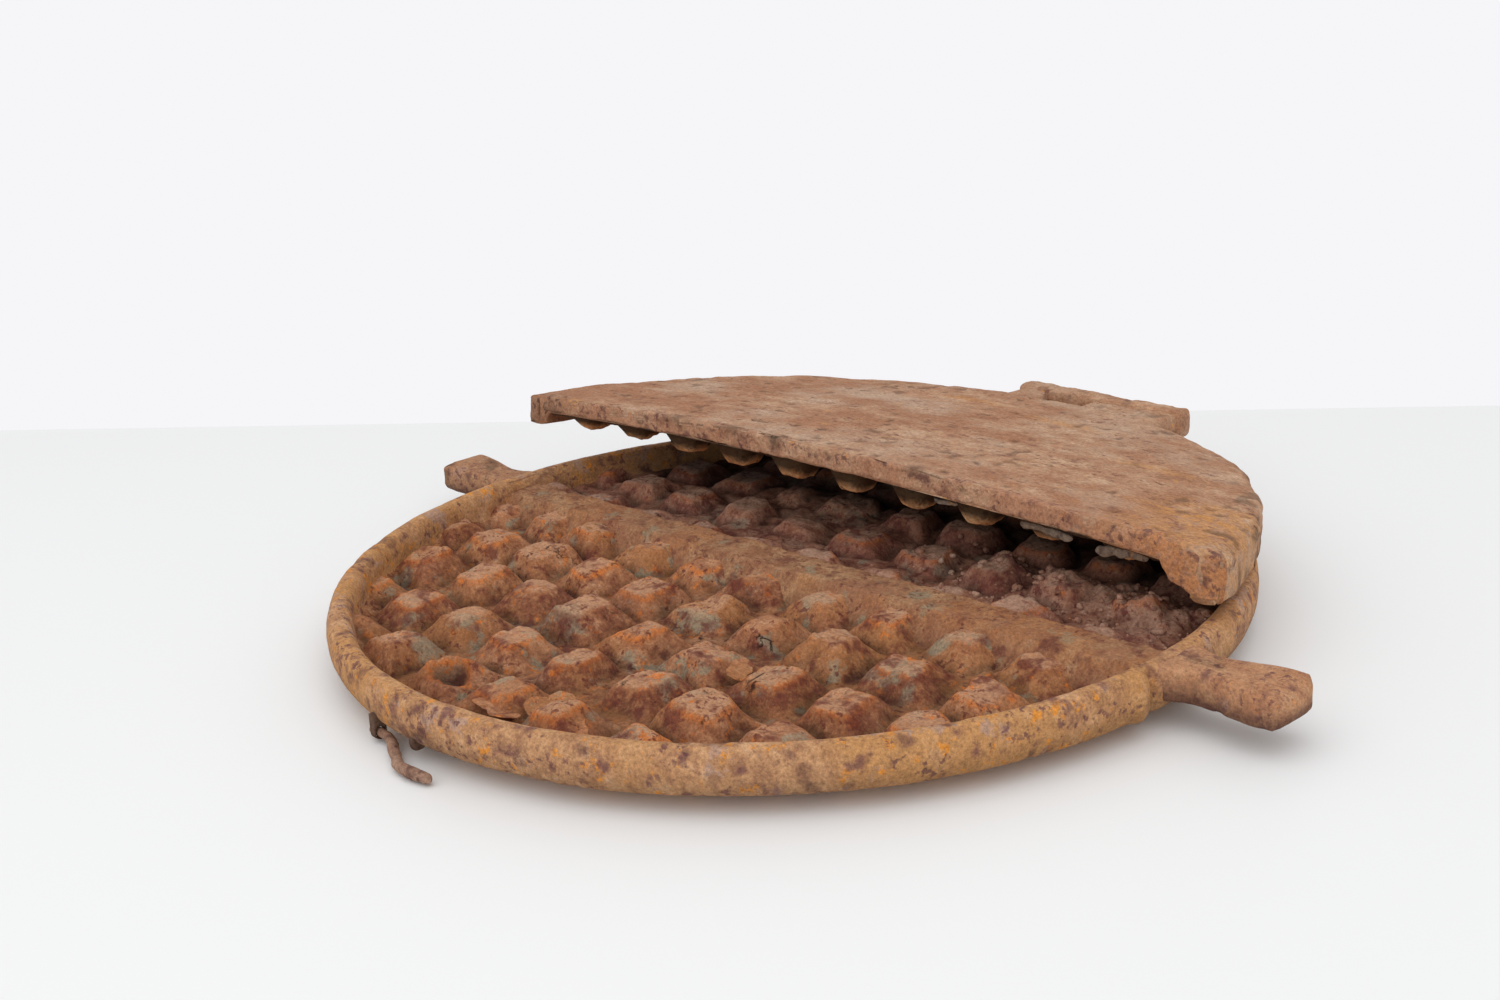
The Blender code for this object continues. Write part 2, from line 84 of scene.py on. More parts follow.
def scales(points, size, seed):
    """Rust in plates. Each cube of a lattice holds one point; a place takes the nearest point's own level, and
    its crack is how much nearer that point is than the second nearest, from 0 on a crack."""
    place = points / size
    cell = np.floor(place).astype(np.int64)
    nearest = np.full(points.shape[:-1], 9.0)
    second = nearest.copy()
    level = np.zeros(points.shape[:-1])
    for index in range(27):
        near = cell + np.array([index % 3 - 1, index // 3 % 3 - 1, index // 9 - 1])
        spot = np.stack([lattice_value(near, seed + axis) for axis in range(3)], axis=-1)
        away = np.linalg.norm(near + spot - place, axis=-1)
        closer = away < nearest
        second = np.where(closer, nearest, np.minimum(second, away))
        level = np.where(closer, lattice_value(near, seed + 7), level)
        nearest = np.where(closer, away, nearest)
    return level, second - nearest


def squared(angle, power):
    """Cosine and sine of an angle, each raised to a power below 1 with its sign kept: a superellipse."""
    return (np.sign(wave) * np.abs(wave) ** power for wave in (np.cos(angle), np.sin(angle)))


def ease(value, low, high):
    """A smooth step from 0 at low to 1 at high."""
    share = np.clip((value - low) / (high - low), 0, 1)
    return share * share * (3 - 2 * share)


def outward(rings):
    """Unit normals of rings of points: the cross product of the differences along and round, turned so that
    the closed surface has its inside behind them."""
    along = np.gradient(rings, axis=0)
    around = np.roll(rings, -1, axis=1) - np.roll(rings, 1, axis=1)
    normal = np.cross(along, around)
    normal /= np.maximum(np.linalg.norm(normal, axis=-1, keepdims=True), 1e-12)
    middle = rings.reshape(-1, 3).mean(axis=0)
    return normal if (normal * (rings - middle)).sum() > 0 else -normal


def shaped(name, points, quads, fans, marks):
    """A mesh object from points, four-cornered faces, three-cornered ones and any per-point values. Where the
    signed volume comes out negative, every face is turned over."""
    a, b, c, d = (points[quads[:, k]] for k in range(4))
    volume = (a * np.cross(b, c)).sum() + (a * np.cross(c, d)).sum()
    if len(fans):
        volume += (points[fans[:, 0]] * np.cross(points[fans[:, 1]], points[fans[:, 2]])).sum()
    if volume < 0:
        quads = quads[:, ::-1]
        fans = fans[:, ::-1]
    mesh = bpy.data.meshes.new(name)
    mesh.from_pydata(points.tolist(), [], quads.tolist() + fans.tolist())
    mesh.shade_smooth()
    for mark, values in marks.items():
        layer = mesh.attributes.new(mark, "FLOAT", "POINT")
        layer.data.foreach_set("value", values.astype(np.float32).ravel())
    piece = bpy.data.objects.new(name, mesh)
    bpy.context.scene.collection.objects.link(piece)
    return piece


def ringed(name, rings, marks=None, first=None, last=None):
    """A closed surface from rings of points, with a fan of triangles to a middle point at each end."""
    count, around = rings.shape[:2]
    first = rings[0].mean(axis=0) if first is None else np.array(first)
    last = rings[-1].mean(axis=0) if last is None else np.array(last)
    points = np.vstack([rings.reshape(-1, 3), first, last])
    here = np.arange(around)
    there = (here + 1) % around
    start = around * np.arange(count - 1)[:, None]
    quads = np.stack([start + here, start + there, start + around + there, start + around + here], axis=-1)
    low = np.stack([np.full(around, count * around), there, here], axis=-1)
    high = np.stack([np.full(around, count * around + 1), here, there], axis=-1)
    high[:, 1:] += (count - 1) * around
    padded_marks = {key: np.append(value.ravel(), [value[0].mean(), value[-1].mean()])
                    for key, value in (marks or {}).items()}
    return shaped(name, points, quads.reshape(-1, 4), np.vstack([low, high]), padded_marks)


def rusted_iron(name, tones, tint, dark, patch, glow, dust, stretch=1.0, dark_share=0.45, dark_size=0.0050,
                speck_share=0.45, patch_share=0.40, patch_size=0.0105, patch_soft=0.05, glow_share=0.40,
                crack_share=0.0, relief=0.8):
    """Rust on Object coordinates. Four tones follow a fractal noise; blotches and specks, flat patches and bright
    flecks lie over them, each where its own noise passes a limit. The marks "top", "edge", "scorch" and
    "shade_and_dark_rust" lay dust on flat tops, bright rust on edges, dark rust on flanks, and painted shade
    in the depths, under the lid and on low sides, with dark rust in pits. Cracks follow the borders of bent
    cells. The colours are as a screen shows them, 0 to 255."""
    material = bpy.data.materials.new(name)
    material.use_nodes = True
    tree = material.node_tree
    shader = tree.nodes["Principled BSDF"]
    place = tree.nodes.new("ShaderNodeTexCoord").outputs["Object"]

    def noise(period, detail, rough, shift):
        moved = tree.nodes.new("ShaderNodeMapping")
        moved.inputs["Location"].default_value = (shift, shift / 2, -shift)
        moved.inputs["Scale"].default_value = (stretch, 1.0, 1.0)
        tree.links.new(place, moved.inputs["Vector"])
        node = tree.nodes.new("ShaderNodeTexNoise")
        node.inputs["Scale"].default_value = 1 / period
        node.inputs["Detail"].default_value = detail
        node.inputs["Roughness"].default_value = rough
        tree.links.new(moved.outputs["Vector"], node.inputs["Vector"])
        return node.outputs["Fac"]

    def ramp(source, *stops):
        node = tree.nodes.new("ShaderNodeValToRGB")
        tree.links.new(source, node.inputs["Fac"])
        for index, (at, colour) in enumerate(stops):
            stop = node.color_ramp.elements[index] if index < 2 else node.color_ramp.elements.new(at)
            stop.position = at
            stop.color = colour if isinstance(colour, tuple) else (colour, colour, colour, 1.0)
        return node.outputs["Color"]

    def mixed(share, under, over, blend="MIX"):
        node = tree.nodes.new("ShaderNodeMix")
        node.data_type = "RGBA"
        node.blend_type = blend
        for socket, value in ((node.inputs[0], share), (node.inputs[6], under), (node.inputs[7], over)):
            if isinstance(value, (tuple, float)):
                socket.default_value = value
            else:
                tree.links.new(value, socket)
        return node.outputs[2]

    def mark(attribute):
        node = tree.nodes.new("ShaderNodeAttribute")
        node.attribute_name = attribute
        return node.outputs["Fac"]

    def where(fine, wide):
        return mixed(1.0, fine, wide, "MULTIPLY")

    deep, main, light, pale = (as_seen(*tone) for tone in tones)
    tint, dark, patch, glow, dust = (as_seen(*tone) for tone in (tint, dark, patch, glow, dust))
    grain = noise(0.0008, 4.0, 0.75, 5.9)
    ragged = noise(0.0028, 7.0, 0.7, 1.3)
    colour = ramp(noise(0.0055, 11.0, 0.72, 0.3), (0.33, deep), (0.45, main), (0.55, light), (0.68, pale))
    colour = mixed(ramp(noise(0.034, 5.0, 0.6, 0.9), (0.42, 0.0), (0.60, 0.7)), colour, tint)
    flat = ramp(noise(patch_size, 7.0, 0.62, 3.1), (1 - patch_share, 0.0), (1 - patch_share + patch_soft, 0.75))
    colour = mixed(flat, colour, patch)
    colour = mixed(where(ramp(ragged, (0.36, 0.0), (0.50, 0.85)), mark("top")), colour, dust)
    bright = ramp(noise(0.0042, 8.0, 0.7, 4.7), (1 - glow_share, 0.0), (1.05 - glow_share, 0.9))
    colour = mixed(bright, colour, glow)
    colour = mixed(where(ramp(ragged, (0.40, 0.0), (0.52, 0.9)), mark("edge")), colour, glow)
    colour = mixed(where(ramp(ragged, (0.36, 0.0), (0.56, 0.75)), mark("scorch")), colour, dark)
    blotch = ramp(noise(dark_size, 9.0, 0.58, 7.7), (1 - dark_share, 0.0), (1.11 - dark_share, 0.80))
    colour = mixed(blotch, colour, dark)
    specks = ramp(noise(0.0019, 4.0, 0.6, 2.9), (1 - speck_share, 0.0), (1.06 - speck_share, 0.8))
    colour = mixed(where(specks, ramp(noise(0.012, 4.0, 0.6, 2.3), (0.46, 0.0), (0.56, 1.0))), colour, dark)
    colour = mixed(1.0, colour, ramp(grain, (0.29, 0.58), (0.5, 1.0), (0.72, 1.40)), "MULTIPLY")
    height = mixed(0.30, noise(0.0042, 10.0, 0.68, 6.1), grain)

    if crack_share > 0:
        bent = tree.nodes.new("ShaderNodeVectorMath")
        bent.operation = "MULTIPLY_ADD"
        tree.links.new(ragged, bent.inputs[0])
        bent.inputs[1].default_value = (0.009, 0.009, 0.009)
        tree.links.new(place, bent.inputs[2])
        cells = tree.nodes.new("ShaderNodeTexVoronoi")
        cells.feature = "DISTANCE_TO_EDGE"
        cells.inputs["Scale"].default_value = 1 / 0.0085
        tree.links.new(bent.outputs["Vector"], cells.inputs["Vector"])
        lines = ramp(cells.outputs["Distance"], (0.004, 0.9), (0.026, 0.0))
        cracks = where(lines, ramp(noise(0.016, 4.0, 0.6, 8.3), (1 - crack_share, 0.0), (1.05 - crack_share, 1.0)))
        colour = mixed(cracks, colour, (0.020, 0.011, 0.008, 1.0))
        height = mixed(cracks, height, (0.0, 0.0, 0.0, 1.0))

    # Painted shade: this mark darkens the colour, down to a tenth of it, where shade would fall, and darkens pits as
    # dark rust.
    colour = mixed(1.0, colour, ramp(mark("shade_and_dark_rust"), (0.0, 1.0), (0.5, 0.46), (1.0, 0.10)), "MULTIPLY")
    tree.links.new(colour, shader.inputs["Base Color"])
    tree.links.new(ramp(grain, (0.3, 0.78), (0.7, 0.97)), shader.inputs["Roughness"])
    shader.inputs["Specular IOR Level"].default_value = 0.22
    bump = tree.nodes.new("ShaderNodeBump")
    bump.inputs["Strength"].default_value = relief
    bump.inputs["Distance"].default_value = 0.0011
    tree.links.new(height, bump.inputs["Height"])
    tree.links.new(bump.outputs["Normal"], shader.inputs["Normal"])
    return material


def finish_piece(piece, material, body, node):
    """Gives a piece its rust and its body, and hides the solid in model.glb that it stands for."""
    piece.data.materials.append(material)
    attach(piece, body)
    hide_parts(node)


def dish_section():
    """Radius and height along the dish's section. The inner floor comes first, then the rim as a superellipse
    from its inner side over its top to its bottom, then the skirt and the flat underside."""
    share = 0.5 - 0.75 * np.linspace(0, 1, 62)
    wide, tall = squared(2 * np.pi * share, 2 / RIM_SQUARENESS)
    rim_out = RIM_MIDDLE_RADIUS + RIM_HALF_WIDTH * wide
    rim_up = RIM_MIDDLE_HEIGHT + RIM_HALF_HEIGHT * tall
    skirt = np.linspace(0.08, 1, 10)
    skirt_out = RIM_MIDDLE_RADIUS + (UNDERSIDE_RADIUS - RIM_MIDDLE_RADIUS) * skirt
    skirt_up = (RIM_MIDDLE_HEIGHT - RIM_HALF_HEIGHT) * (1 - skirt**1.3)
    out = np.concatenate([[0.03, 0.07, 0.10, 0.1165, 0.1178], rim_out, skirt_out, [0.1112, 0.108, 0.09, 0.05, 0.02]])
    up = np.concatenate([[DISH_FLOOR] * 3, [0.0032, 0.0045], rim_up, skirt_up, [0.0] * 5])
    return out, up


out, up = dish_section()
turn = np.linspace(0, 2 * np.pi, 1000, endpoint=False)
rings = np.stack([
    out[:, None] * np.cos(turn),
    out[:, None] * np.sin(turn),
    up[:, None] * np.ones_like(turn),
], axis=-1)
azimuth = np.degrees(np.arctan2(rings[..., 1], rings[..., 0]))
from_middle = np.hypot(rings[..., 0], rings[..., 1])
collar = 0.0010 * np.exp(-((azimuth + 7.1) / 1.1) ** 2) - 0.0024 * np.exp(-((azimuth + 5.0) / 0.65) ** 2)
collar *= ease(from_middle, RIM_MIDDLE_RADIUS, 0.1240)
lump = 0.00018 * crust(rings, 0.015, 2, 11) + 0.00006 * crust(rings, 0.0036, 3, 12) + collar
level, _ = scales(rings, 0.006, 13)
pit = ease(crust(rings, 0.005, 2, 14), 0.45, 0.85)
rings = rings + outward(rings) * (lump + 0.00006 * (level - 0.5) - 0.00022 * pit)[..., None]
rings[..., 2] = np.maximum(rings[..., 2], 0.0)
from_middle = np.hypot(rings[..., 0], rings[..., 1])
# Painted shade on the inner side of the rim's rear half and on the low part of its outer side and skirt; pits are
# darkened too.
painted_shade_inner_side = 0.5 * ease(rings[..., 1], 0.02, 0.06) * (from_middle < 0.1195)
painted_shade_low_side = 0.26 * ease(0.0112 - rings[..., 2], 0, 0.005) * (from_middle > RIM_MIDDLE_RADIUS)
rim_marks = {"shade_and_dark_rust": 0.14 * pit + painted_shade_low_side + painted_shade_inner_side, "scorch": 0.8 * pit}
rim = ringed("base_rim_and_dish", rings, rim_marks, (0, 0, DISH_FLOOR), (0, 0, 0))
rim_rust = rusted_iron(
    "ochre_rust",
    ((144, 102, 76), (176, 130, 94), (194, 147, 106), (208, 166, 130)),
    (190, 138, 84), (112, 72, 70), (174, 142, 126), (218, 140, 54),
    (200, 166, 132),
    dark_share=0.435, dark_size=0.0058, speck_share=0.45, patch_share=0.42, patch_size=0.008, glow_share=0.42,
    relief=0.6,
)
finish_piece(rim, rim_rust, "base", "base_plate")


# ---- Base: studded fields
# The inside of the dish has blunt square studs in a grid on both sides of its rib, cast with the dish. Rust
# has rounded them, swollen them into lumps and split their skin into plates.
STUD_PITCH_ALONG = 0.0234
STUD_PITCH_ACROSS = 0.0221
STUD_FIRST_ROW = 0.0096
STUD_HALF_FOOT = 0.0107
STUD_HALF_TOP = 0.0051
STUD_RISE = 0.0070
FIELD_FLOOR = 0.0039
FIELD_RADIUS = 0.1186
FIELD_EDGE = 0.11855
FIELD_BOTTOM = 0.0032
BROKEN_STUD_X = -0.0212
BROKEN_STUD_Y = -0.0992
BROKEN_STUD_RADIUS = 0.0044
BROKEN_STUD_DEPTH = 0.0052


def stud_height(x, y):
    """Height of the studs. Round each stud's middle the distance is the p-norm of both offsets, with p from 3
    to 8 by stud, and the stud rises as that distance falls from half its foot to half its top. Also gives the
    share of the way up, and the marks for tops and edges."""
    column = np.rint(x / STUD_PITCH_ALONG)
    row = np.maximum(np.rint((np.abs(y) - STUD_FIRST_ROW) / STUD_PITCH_ACROSS), 0)
    key = np.stack([column, row, np.sign(y)], axis=-1).astype(np.int64)
    chance = [lattice_value(key, seed) for seed in range(21, 29)]
    along = x - column * STUD_PITCH_ALONG - 0.0020 * (chance[0] - 0.5)
    across = np.abs(y) - STUD_FIRST_ROW - row * STUD_PITCH_ACROSS - 0.0020 * (chance[1] - 0.5)
    twist = 0.30 * (chance[6] - 0.5)
    along, across = along - twist * across, across + twist * along
    power = 3.0 + 5.0 * chance[2]
    away = (np.abs(along) ** power + np.abs(across) ** power) ** (1 / power)
    top = STUD_HALF_TOP * (0.80 + 0.42 * chance[3])
    share = (STUD_HALF_FOOT - away) / (STUD_HALF_FOOT - top)
    rise = 0.45 * np.clip(share, 0, 1) + 0.55 * ease(share, -0.20, 1.35)
    tilt = 0.16 * (along * (chance[4] - 0.5) + across * (chance[5] - 0.5))
    inside = np.hypot(column * STUD_PITCH_ALONG, STUD_FIRST_ROW + row * STUD_PITCH_ACROSS) < 0.1215
    stud = inside * rise * (STUD_RISE * (0.80 + 0.27 * chance[7]) + tilt)
    fillet = 0.0035 * ease(np.hypot(x, y), 0.1125, 0.1186)
    flank = inside * ease(share, 0.05, 0.35) * ease(share, 1.15, 0.85)
    marks = {
        "scorch": flank * ease(chance[6], 0.35, 0.90),
        "top": inside * 0.85 * ease(share, 0.86, 1.22) * (0.35 + 0.65 * (chance[0] > 0.2)),
        "edge": inside * np.exp(-((share - 0.95) / 0.13) ** 2) * (0.15 + 0.75 * (chance[1] > 0.35)),
    }
    return FIELD_FLOOR + np.maximum(stud, fillet), np.clip(stud / STUD_RISE, 0, 1), marks


def slab(name, grid, floor, marks):
    """A closed block: the grid is its top, its edge drops to the floor, and a fan of triangles closes it below."""
    rows, columns = grid.shape[:2]
    index = np.arange(rows * columns).reshape(rows, columns)
    edge = np.concatenate([index[0], index[1:, -1], index[-1, -2::-1], index[-2:0:-1, 0]])
    drop = grid.reshape(-1, 3)[edge].copy()
    drop[:, 2] = floor
    total = rows * columns
    low = total + np.arange(len(edge))
    middle = drop.mean(axis=0)
    points = np.vstack([grid.reshape(-1, 3), drop, middle])
    top = np.stack([index[:-1, :-1], index[:-1, 1:], index[1:, 1:], index[1:, :-1]], axis=-1).reshape(-1, 4)
    wall = np.stack([np.roll(edge, -1), edge, low, np.roll(low, -1)], axis=-1)
    below = np.stack([np.roll(low, -1), low, np.full(len(edge), len(points) - 1)], axis=-1)
    full = {key: np.concatenate([value.ravel(), value.ravel()[edge], [0.0]]) for key, value in marks.items()}
    return shaped(name, points, np.vstack([top, wall]), below, full)


def smoothed(values, times):
    """Each value made the mean of itself and its four neighbours, several times over."""
    for _ in range(times):
        grown = np.pad(values, 1, mode="edge")
        values = (values + grown[:-2, 1:-1] + grown[2:, 1:-1] + grown[1:-1, :-2] + grown[1:-1, 2:]) / 5
    return values


def field(near, far, rows, columns, clog):
    """A field between two values of y. Its points run across the dish's chord at each y, and their height is
    the studs' and the rib's, with lumps and plates of rust added and soil filling the floor to the clog's
    height. Returns the grid and its marks."""
    y = np.linspace(near, far, rows)[:, None] * np.ones(columns)
    chord = np.sqrt(np.maximum(FIELD_RADIUS**2 - y**2, 1e-8))
    x = chord * np.linspace(-1, 1, columns)
    flat = np.stack([x, y, np.zeros_like(x)], axis=-1)
    bend = 0.0015 * np.stack([crust(flat, 0.009, 2, 31), crust(flat, 0.009, 2, 32)], axis=-1)
    height, rise, marks = stud_height(x + bend[..., 0], y + bend[..., 1])
    level, crack = scales(flat + 0.002 * crust(flat, 0.004, 2, 33)[..., None], 0.0068, 34)
    where = ease(crust(flat, 0.020, 2, 35), 0.05, 0.45)
    rough = 0.00060 * crust(flat, 0.0085, 2, 36) + 0.00036 * crust(flat, 0.0025, 3, 37)
    height = height + rough + 0.0010 * (level - 0.5) * where * ease(crack, 0.0, 0.1)
    soil = clog * (1 + 0.55 * crust(flat, 0.011, 2, 38) + 0.30 * crust(flat, 0.0042, 2, 39))
    height = np.maximum(height, FIELD_FLOOR + soil) + 0.25 * np.minimum(soil, 0.002)
    # Painted shade: darker in crevices below the smoothed surface and on the floor between the studs.
    sunk = np.clip((smoothed(height, 36) - height) / 0.0013, 0, 1)
    marks["shade_and_dark_rust"] = np.clip(0.55 * sunk + 0.16 * (1 - rise) ** 2, 0, 1)
    return np.stack([x, y, np.maximum(height, 0.0034)], axis=-1), marks


grid, marks = field(-FIELD_EDGE, 0.0, 222, 400, 0.0003)
away = np.hypot(grid[..., 0] - BROKEN_STUD_X, grid[..., 1] - BROKEN_STUD_Y)
crater = np.exp(-((away / BROKEN_STUD_RADIUS) ** 4))
grid[..., 2] = np.maximum(grid[..., 2] - BROKEN_STUD_DEPTH * crater, 0.0044)
# Painted shade inside the broken stud's crater.
marks["shade_and_dark_rust"] = np.clip(marks["shade_and_dark_rust"] + 0.75 * crater, 0, 1)
lip = np.exp(-((crater - 0.25) / 0.2) ** 2) * (crater > 0.02)
marks["edge"] = np.maximum(marks["edge"] * (1 - crater), lip)
front = slab("front_field", grid, FIELD_BOTTOM, marks)
field_rust = rusted_iron(
    "orange_brown_rust",
    ((116, 66, 46), (160, 106, 74), (182, 128, 92), (202, 156, 122)),
    (168, 114, 70), (108, 54, 44), (150, 142, 120), (210, 120, 54),
    (192, 146, 114),
    dark_share=0.46, dark_size=0.0064, speck_share=0.45, patch_share=0.44, patch_size=0.0130,
    glow_share=0.41, crack_share=0.36, relief=0.9,
)
finish_piece(front, field_rust, "base", "base_plate")

# Heaps of soil in the rear field: place, reach and strength.
HEAPS = (
    (0.083, 0.032, 0.0075, 1.0), (0.0985, 0.0255, 0.0085, 1.05), (0.068, 0.031, 0.0070, 0.75),
    (0.052, 0.038, 0.0080, 0.7), (0.090, 0.046, 0.0090, 0.8), (0.030, 0.042, 0.0070, 0.5),
    (0.106, 0.036, 0.0060, 0.9),
)
grid, marks = field(0.0, FIELD_EDGE, 200, 400, 0.0024)
x, y = grid[..., 0], grid[..., 1]
heap = 0 * x
for middle_x, middle_y, reach, share in HEAPS:
    heap += share * np.exp(-(((x - middle_x) ** 2 + (y - middle_y) ** 2) / reach**2) ** 1.4)
grid[..., 2] += heap * (0.0030 + 0.0016 * crust(grid, 0.007, 3, 41) + 0.0011 * crust(grid, 0.0024, 2, 42))
marks["top"] = np.maximum(marks["top"], 0.8 * np.clip(heap, 0, 1))
# Painted shade: less on the heaps that rise into the light, and a painted shadow of the lid over the back of the
# field.
marks["shade_and_dark_rust"] = marks["shade_and_dark_rust"] * (1 - 0.6 * np.clip(heap, 0, 1))
marks["shade_and_dark_rust"] += 0.7 * ease(y + 0.9 * x**2, 0.048, 0.062)
rear = slab("rear_field", grid, FIELD_BOTTOM, marks)
# Dusty rust whose tones are also painted lighter, standing in for the light that reaches the rear field in front of
# the lid's shadow.
rear_rust = rusted_iron(
    "dusty_brown_rust_painted_lighter",
    ((130, 82, 66), (166, 116, 92), (186, 140, 116), (200, 162, 140)),
    (150, 96, 76), (112, 58, 52), (160, 144, 124), (200, 116, 64),
    (184, 148, 126),
    dark_share=0.45, dark_size=0.0050, speck_share=0.46, patch_share=0.41, glow_share=0.36,
    crack_share=0.38, relief=1.0,
)
finish_piece(rear, rear_rust, "base", "base_plate")


def crumbs(name, x, y, ground, size):
    """Small lumps in one mesh. Each is a sphere on rings, pressed flat and swollen or shrunk by noise, and sunk
    a third of its size into the ground below it."""
    way = np.linspace(0.25, np.pi - 0.25, 6)[:, None]
    round_it = np.linspace(0, 2 * np.pi, 9, endpoint=False)
    ball = np.stack([
        np.sin(way) * np.cos(round_it), np.sin(way) * np.sin(round_it), np.cos(way) * np.ones(9),
    ], axis=-1).reshape(-1, 3)
    ball = np.vstack([ball, [0, 0, 1.0], [0, 0, -1.0]])
    middle = np.stack([x, y, ground + 0.2 * size], axis=-1)
    points = middle[:, None] + ball * (size[:, None] * np.array([1.0, 1.0, 0.7]))[:, None]
    points += ball * (size[:, None] * 0.45 * crust(points, 0.0012, 2, 131))[..., None]
    here = np.arange(9)
    there = (here + 1) % 9
    start = 9 * np.arange(5)[:, None]
    quads = np.stack([start + here, start + 9 + here, start + 9 + there, start + there], axis=-1).reshape(-1, 4)
    fans = np.vstack([
        np.stack([np.full(9, 54), here, there], axis=-1),
        np.stack([np.full(9, 55), 45 + there, 45 + here], axis=-1),
    ])
    first = 56 * np.arange(len(x))[:, None, None]
    return shaped(name, points.reshape(-1, 3), (first + quads).reshape(-1, 4), (first + fans).reshape(-1, 3), {})


chance = [lattice_value(np.stack([np.arange(260)] * 3, axis=-1), seed) for seed in range(121, 126)]
place_x = 0.012 + 0.098 * chance[0] ** 0.75
place_y = 0.0150 + 0.034 * chance[1] * (1 - 0.2 * chance[2])
row = np.rint(place_y / FIELD_EDGE * (grid.shape[0] - 1)).astype(int)
column = np.rint((place_x / np.sqrt(FIELD_RADIUS**2 - place_y**2) + 1) / 2 * (grid.shape[1] - 1)).astype(int)
soil_grains = crumbs("soil_crumbs", place_x, place_y, grid[row, column, 2], 0.00035 + 0.0011 * chance[3] ** 3)
soil_rust = rusted_iron(
    "pale_soil",
    ((140, 100, 84), (172, 130, 110), (196, 156, 134), (214, 184, 164)),
    (160, 116, 96), (120, 76, 64), (190, 170, 154), (196, 124, 76),
    (190, 158, 140), relief=0.8,
)
finish_piece(soil_grains, soil_rust, "base", "base_plate")


# ---- Base: loose flakes
# Thin scales of rust have lifted from the studs near the front of the rim and lie across the gaps. Each is a
# bent leaf half a millimetre thick with a ragged outline. Below: place, length, width, turn and tip.
FLAKES = (
    (0.0060, -0.1050, 0.0078, 0.0080, 0.0040, -8, -14),
    (0.0150, -0.0960, 0.0084, 0.0062, 0.0040, 65, 18),
    (0.0290, -0.1000, 0.0076, 0.0075, 0.0030, -30, 28),
    (0.0380, -0.0560, 0.0090, 0.0050, 0.0030, 110, 20),
)


def flake_rings(length, width, seed):
    """Flat ellipses along X whose width follows half a sine, made ragged by noise, on a sheet that rises with
    the square of the distance from its middle."""
    way = np.linspace(0.03, np.pi - 0.03, 36)[:, None]
    angle = np.linspace(0, 2 * np.pi, 28, endpoint=False)
    x = -length * np.cos(way) * np.ones_like(angle)
    y = width * np.sin(way) ** 0.6 * np.cos(angle)
    flat = np.stack([x, y, 0 * x + 0.01 * seed], axis=-1)
    y = y * (1 + 0.35 * crust(flat, 0.004, 2, seed))
    z = 0.00032 * np.sin(angle) * np.sin(way) ** 0.5 + 9.0 * (x**2 + y**2)
    z = z + 0.0003 * crust(flat, 0.003, 2, seed + 1)
    return np.stack([x, y, z], axis=-1)


for index, (x, y, z, length, width, turned, tipped) in enumerate(FLAKES):
    leaf = flake_rings(length, width, 140 + index)
    sin_t, cos_t = math.sin(math.radians(turned)), math.cos(math.radians(turned))
    sin_p, cos_p = math.sin(math.radians(tipped)), math.cos(math.radians(tipped))
    tip = np.array([[1, 0, 0], [0, cos_p, -sin_p], [0, sin_p, cos_p]])
    spin = np.array([[cos_t, -sin_t, 0], [sin_t, cos_t, 0], [0, 0, 1]])
    leaf = leaf @ (spin @ tip).T + np.array([x, y, z])
    flake = ringed(f"rust_flake_{index + 1}", leaf, {"edge": 0.6 * ease(np.abs(leaf[..., 2] - z), 0.0008, 0.002)})
    finish_piece(flake, field_rust, "base", "base_plate")


# ---- Base: rib
# A straight rib crosses the dish in line with the handles and parts the two fields. It is cast with them, as
# high as the studs and a little more, flat on top and sloped on both sides.
RIB_TOP = 0.0125
RIB_BOTTOM = 0.0036
RIB_HALF_TOP = 0.0056
RIB_HALF_FOOT = 0.0122
RIB_REACH = 0.1185

across = np.linspace(-RIB_HALF_FOOT, RIB_HALF_FOOT, 104)
slope = np.clip((RIB_HALF_FOOT - np.abs(across)) / (RIB_HALF_FOOT - RIB_HALF_TOP), 0, 1)
profile_up = RIB_BOTTOM + (RIB_TOP - RIB_BOTTOM) * (0.75 * slope + 0.25 * ease(slope, -0.1, 1.1))
below = np.linspace(RIB_HALF_FOOT, -RIB_HALF_FOOT, 14)[1:-1]
section_y = np.concatenate([across, below])
section_z = np.concatenate([profile_up, np.full_like(below, FIELD_BOTTOM)])
along = np.linspace(-RIB_REACH, RIB_REACH, 460)[:, None]
rings = np.stack([
    along * np.ones_like(section_y),
    np.ones_like(along) * section_y,
    np.ones_like(along) * section_z,
], axis=-1)
worn = 0.00026 * crust(rings, 0.010, 2, 44) + 0.00022 * crust(rings, 0.0030, 3, 45)
flank = ease(np.abs(section_y), 0.0062, 0.0095)
worn += flank * 0.0007 * crust(rings, 0.0075, 2, 46) - 0.0004 * ease(crust(rings, 0.008, 2, 47), 0.3, 0.7)
rings[:, :104, 2] += worn[:, :104]
rings[:, :104, 1] += 0.5 * worn[:, :104]
# Painted shade, darker low on the rib towards its foot.
shade_and_dark_rust = 0.35 * ease(0.0075 - rings[..., 2], 0.0, 0.003)
bright = 0.3 * ease(crust(rings, 0.012, 2, 48), 0.1, 0.5) * (1 - flank)
rib = ringed("rib", rings, {"shade_and_dark_rust": shade_and_dark_rust, "edge": bright})
rib_rust = rusted_iron(
    "brown_rib_rust",
    ((124, 80, 58), (152, 108, 78), (168, 126, 92), (186, 148, 112)),
    (148, 98, 72), (108, 62, 52), (146, 132, 108), (190, 124, 70),
    (180, 142, 112),
    dark_share=0.44, dark_size=0.0066, speck_share=0.44, patch_share=0.42, glow_share=0.33, relief=0.7,
)
finish_piece(rib, rib_rust, "base", "base_plate")


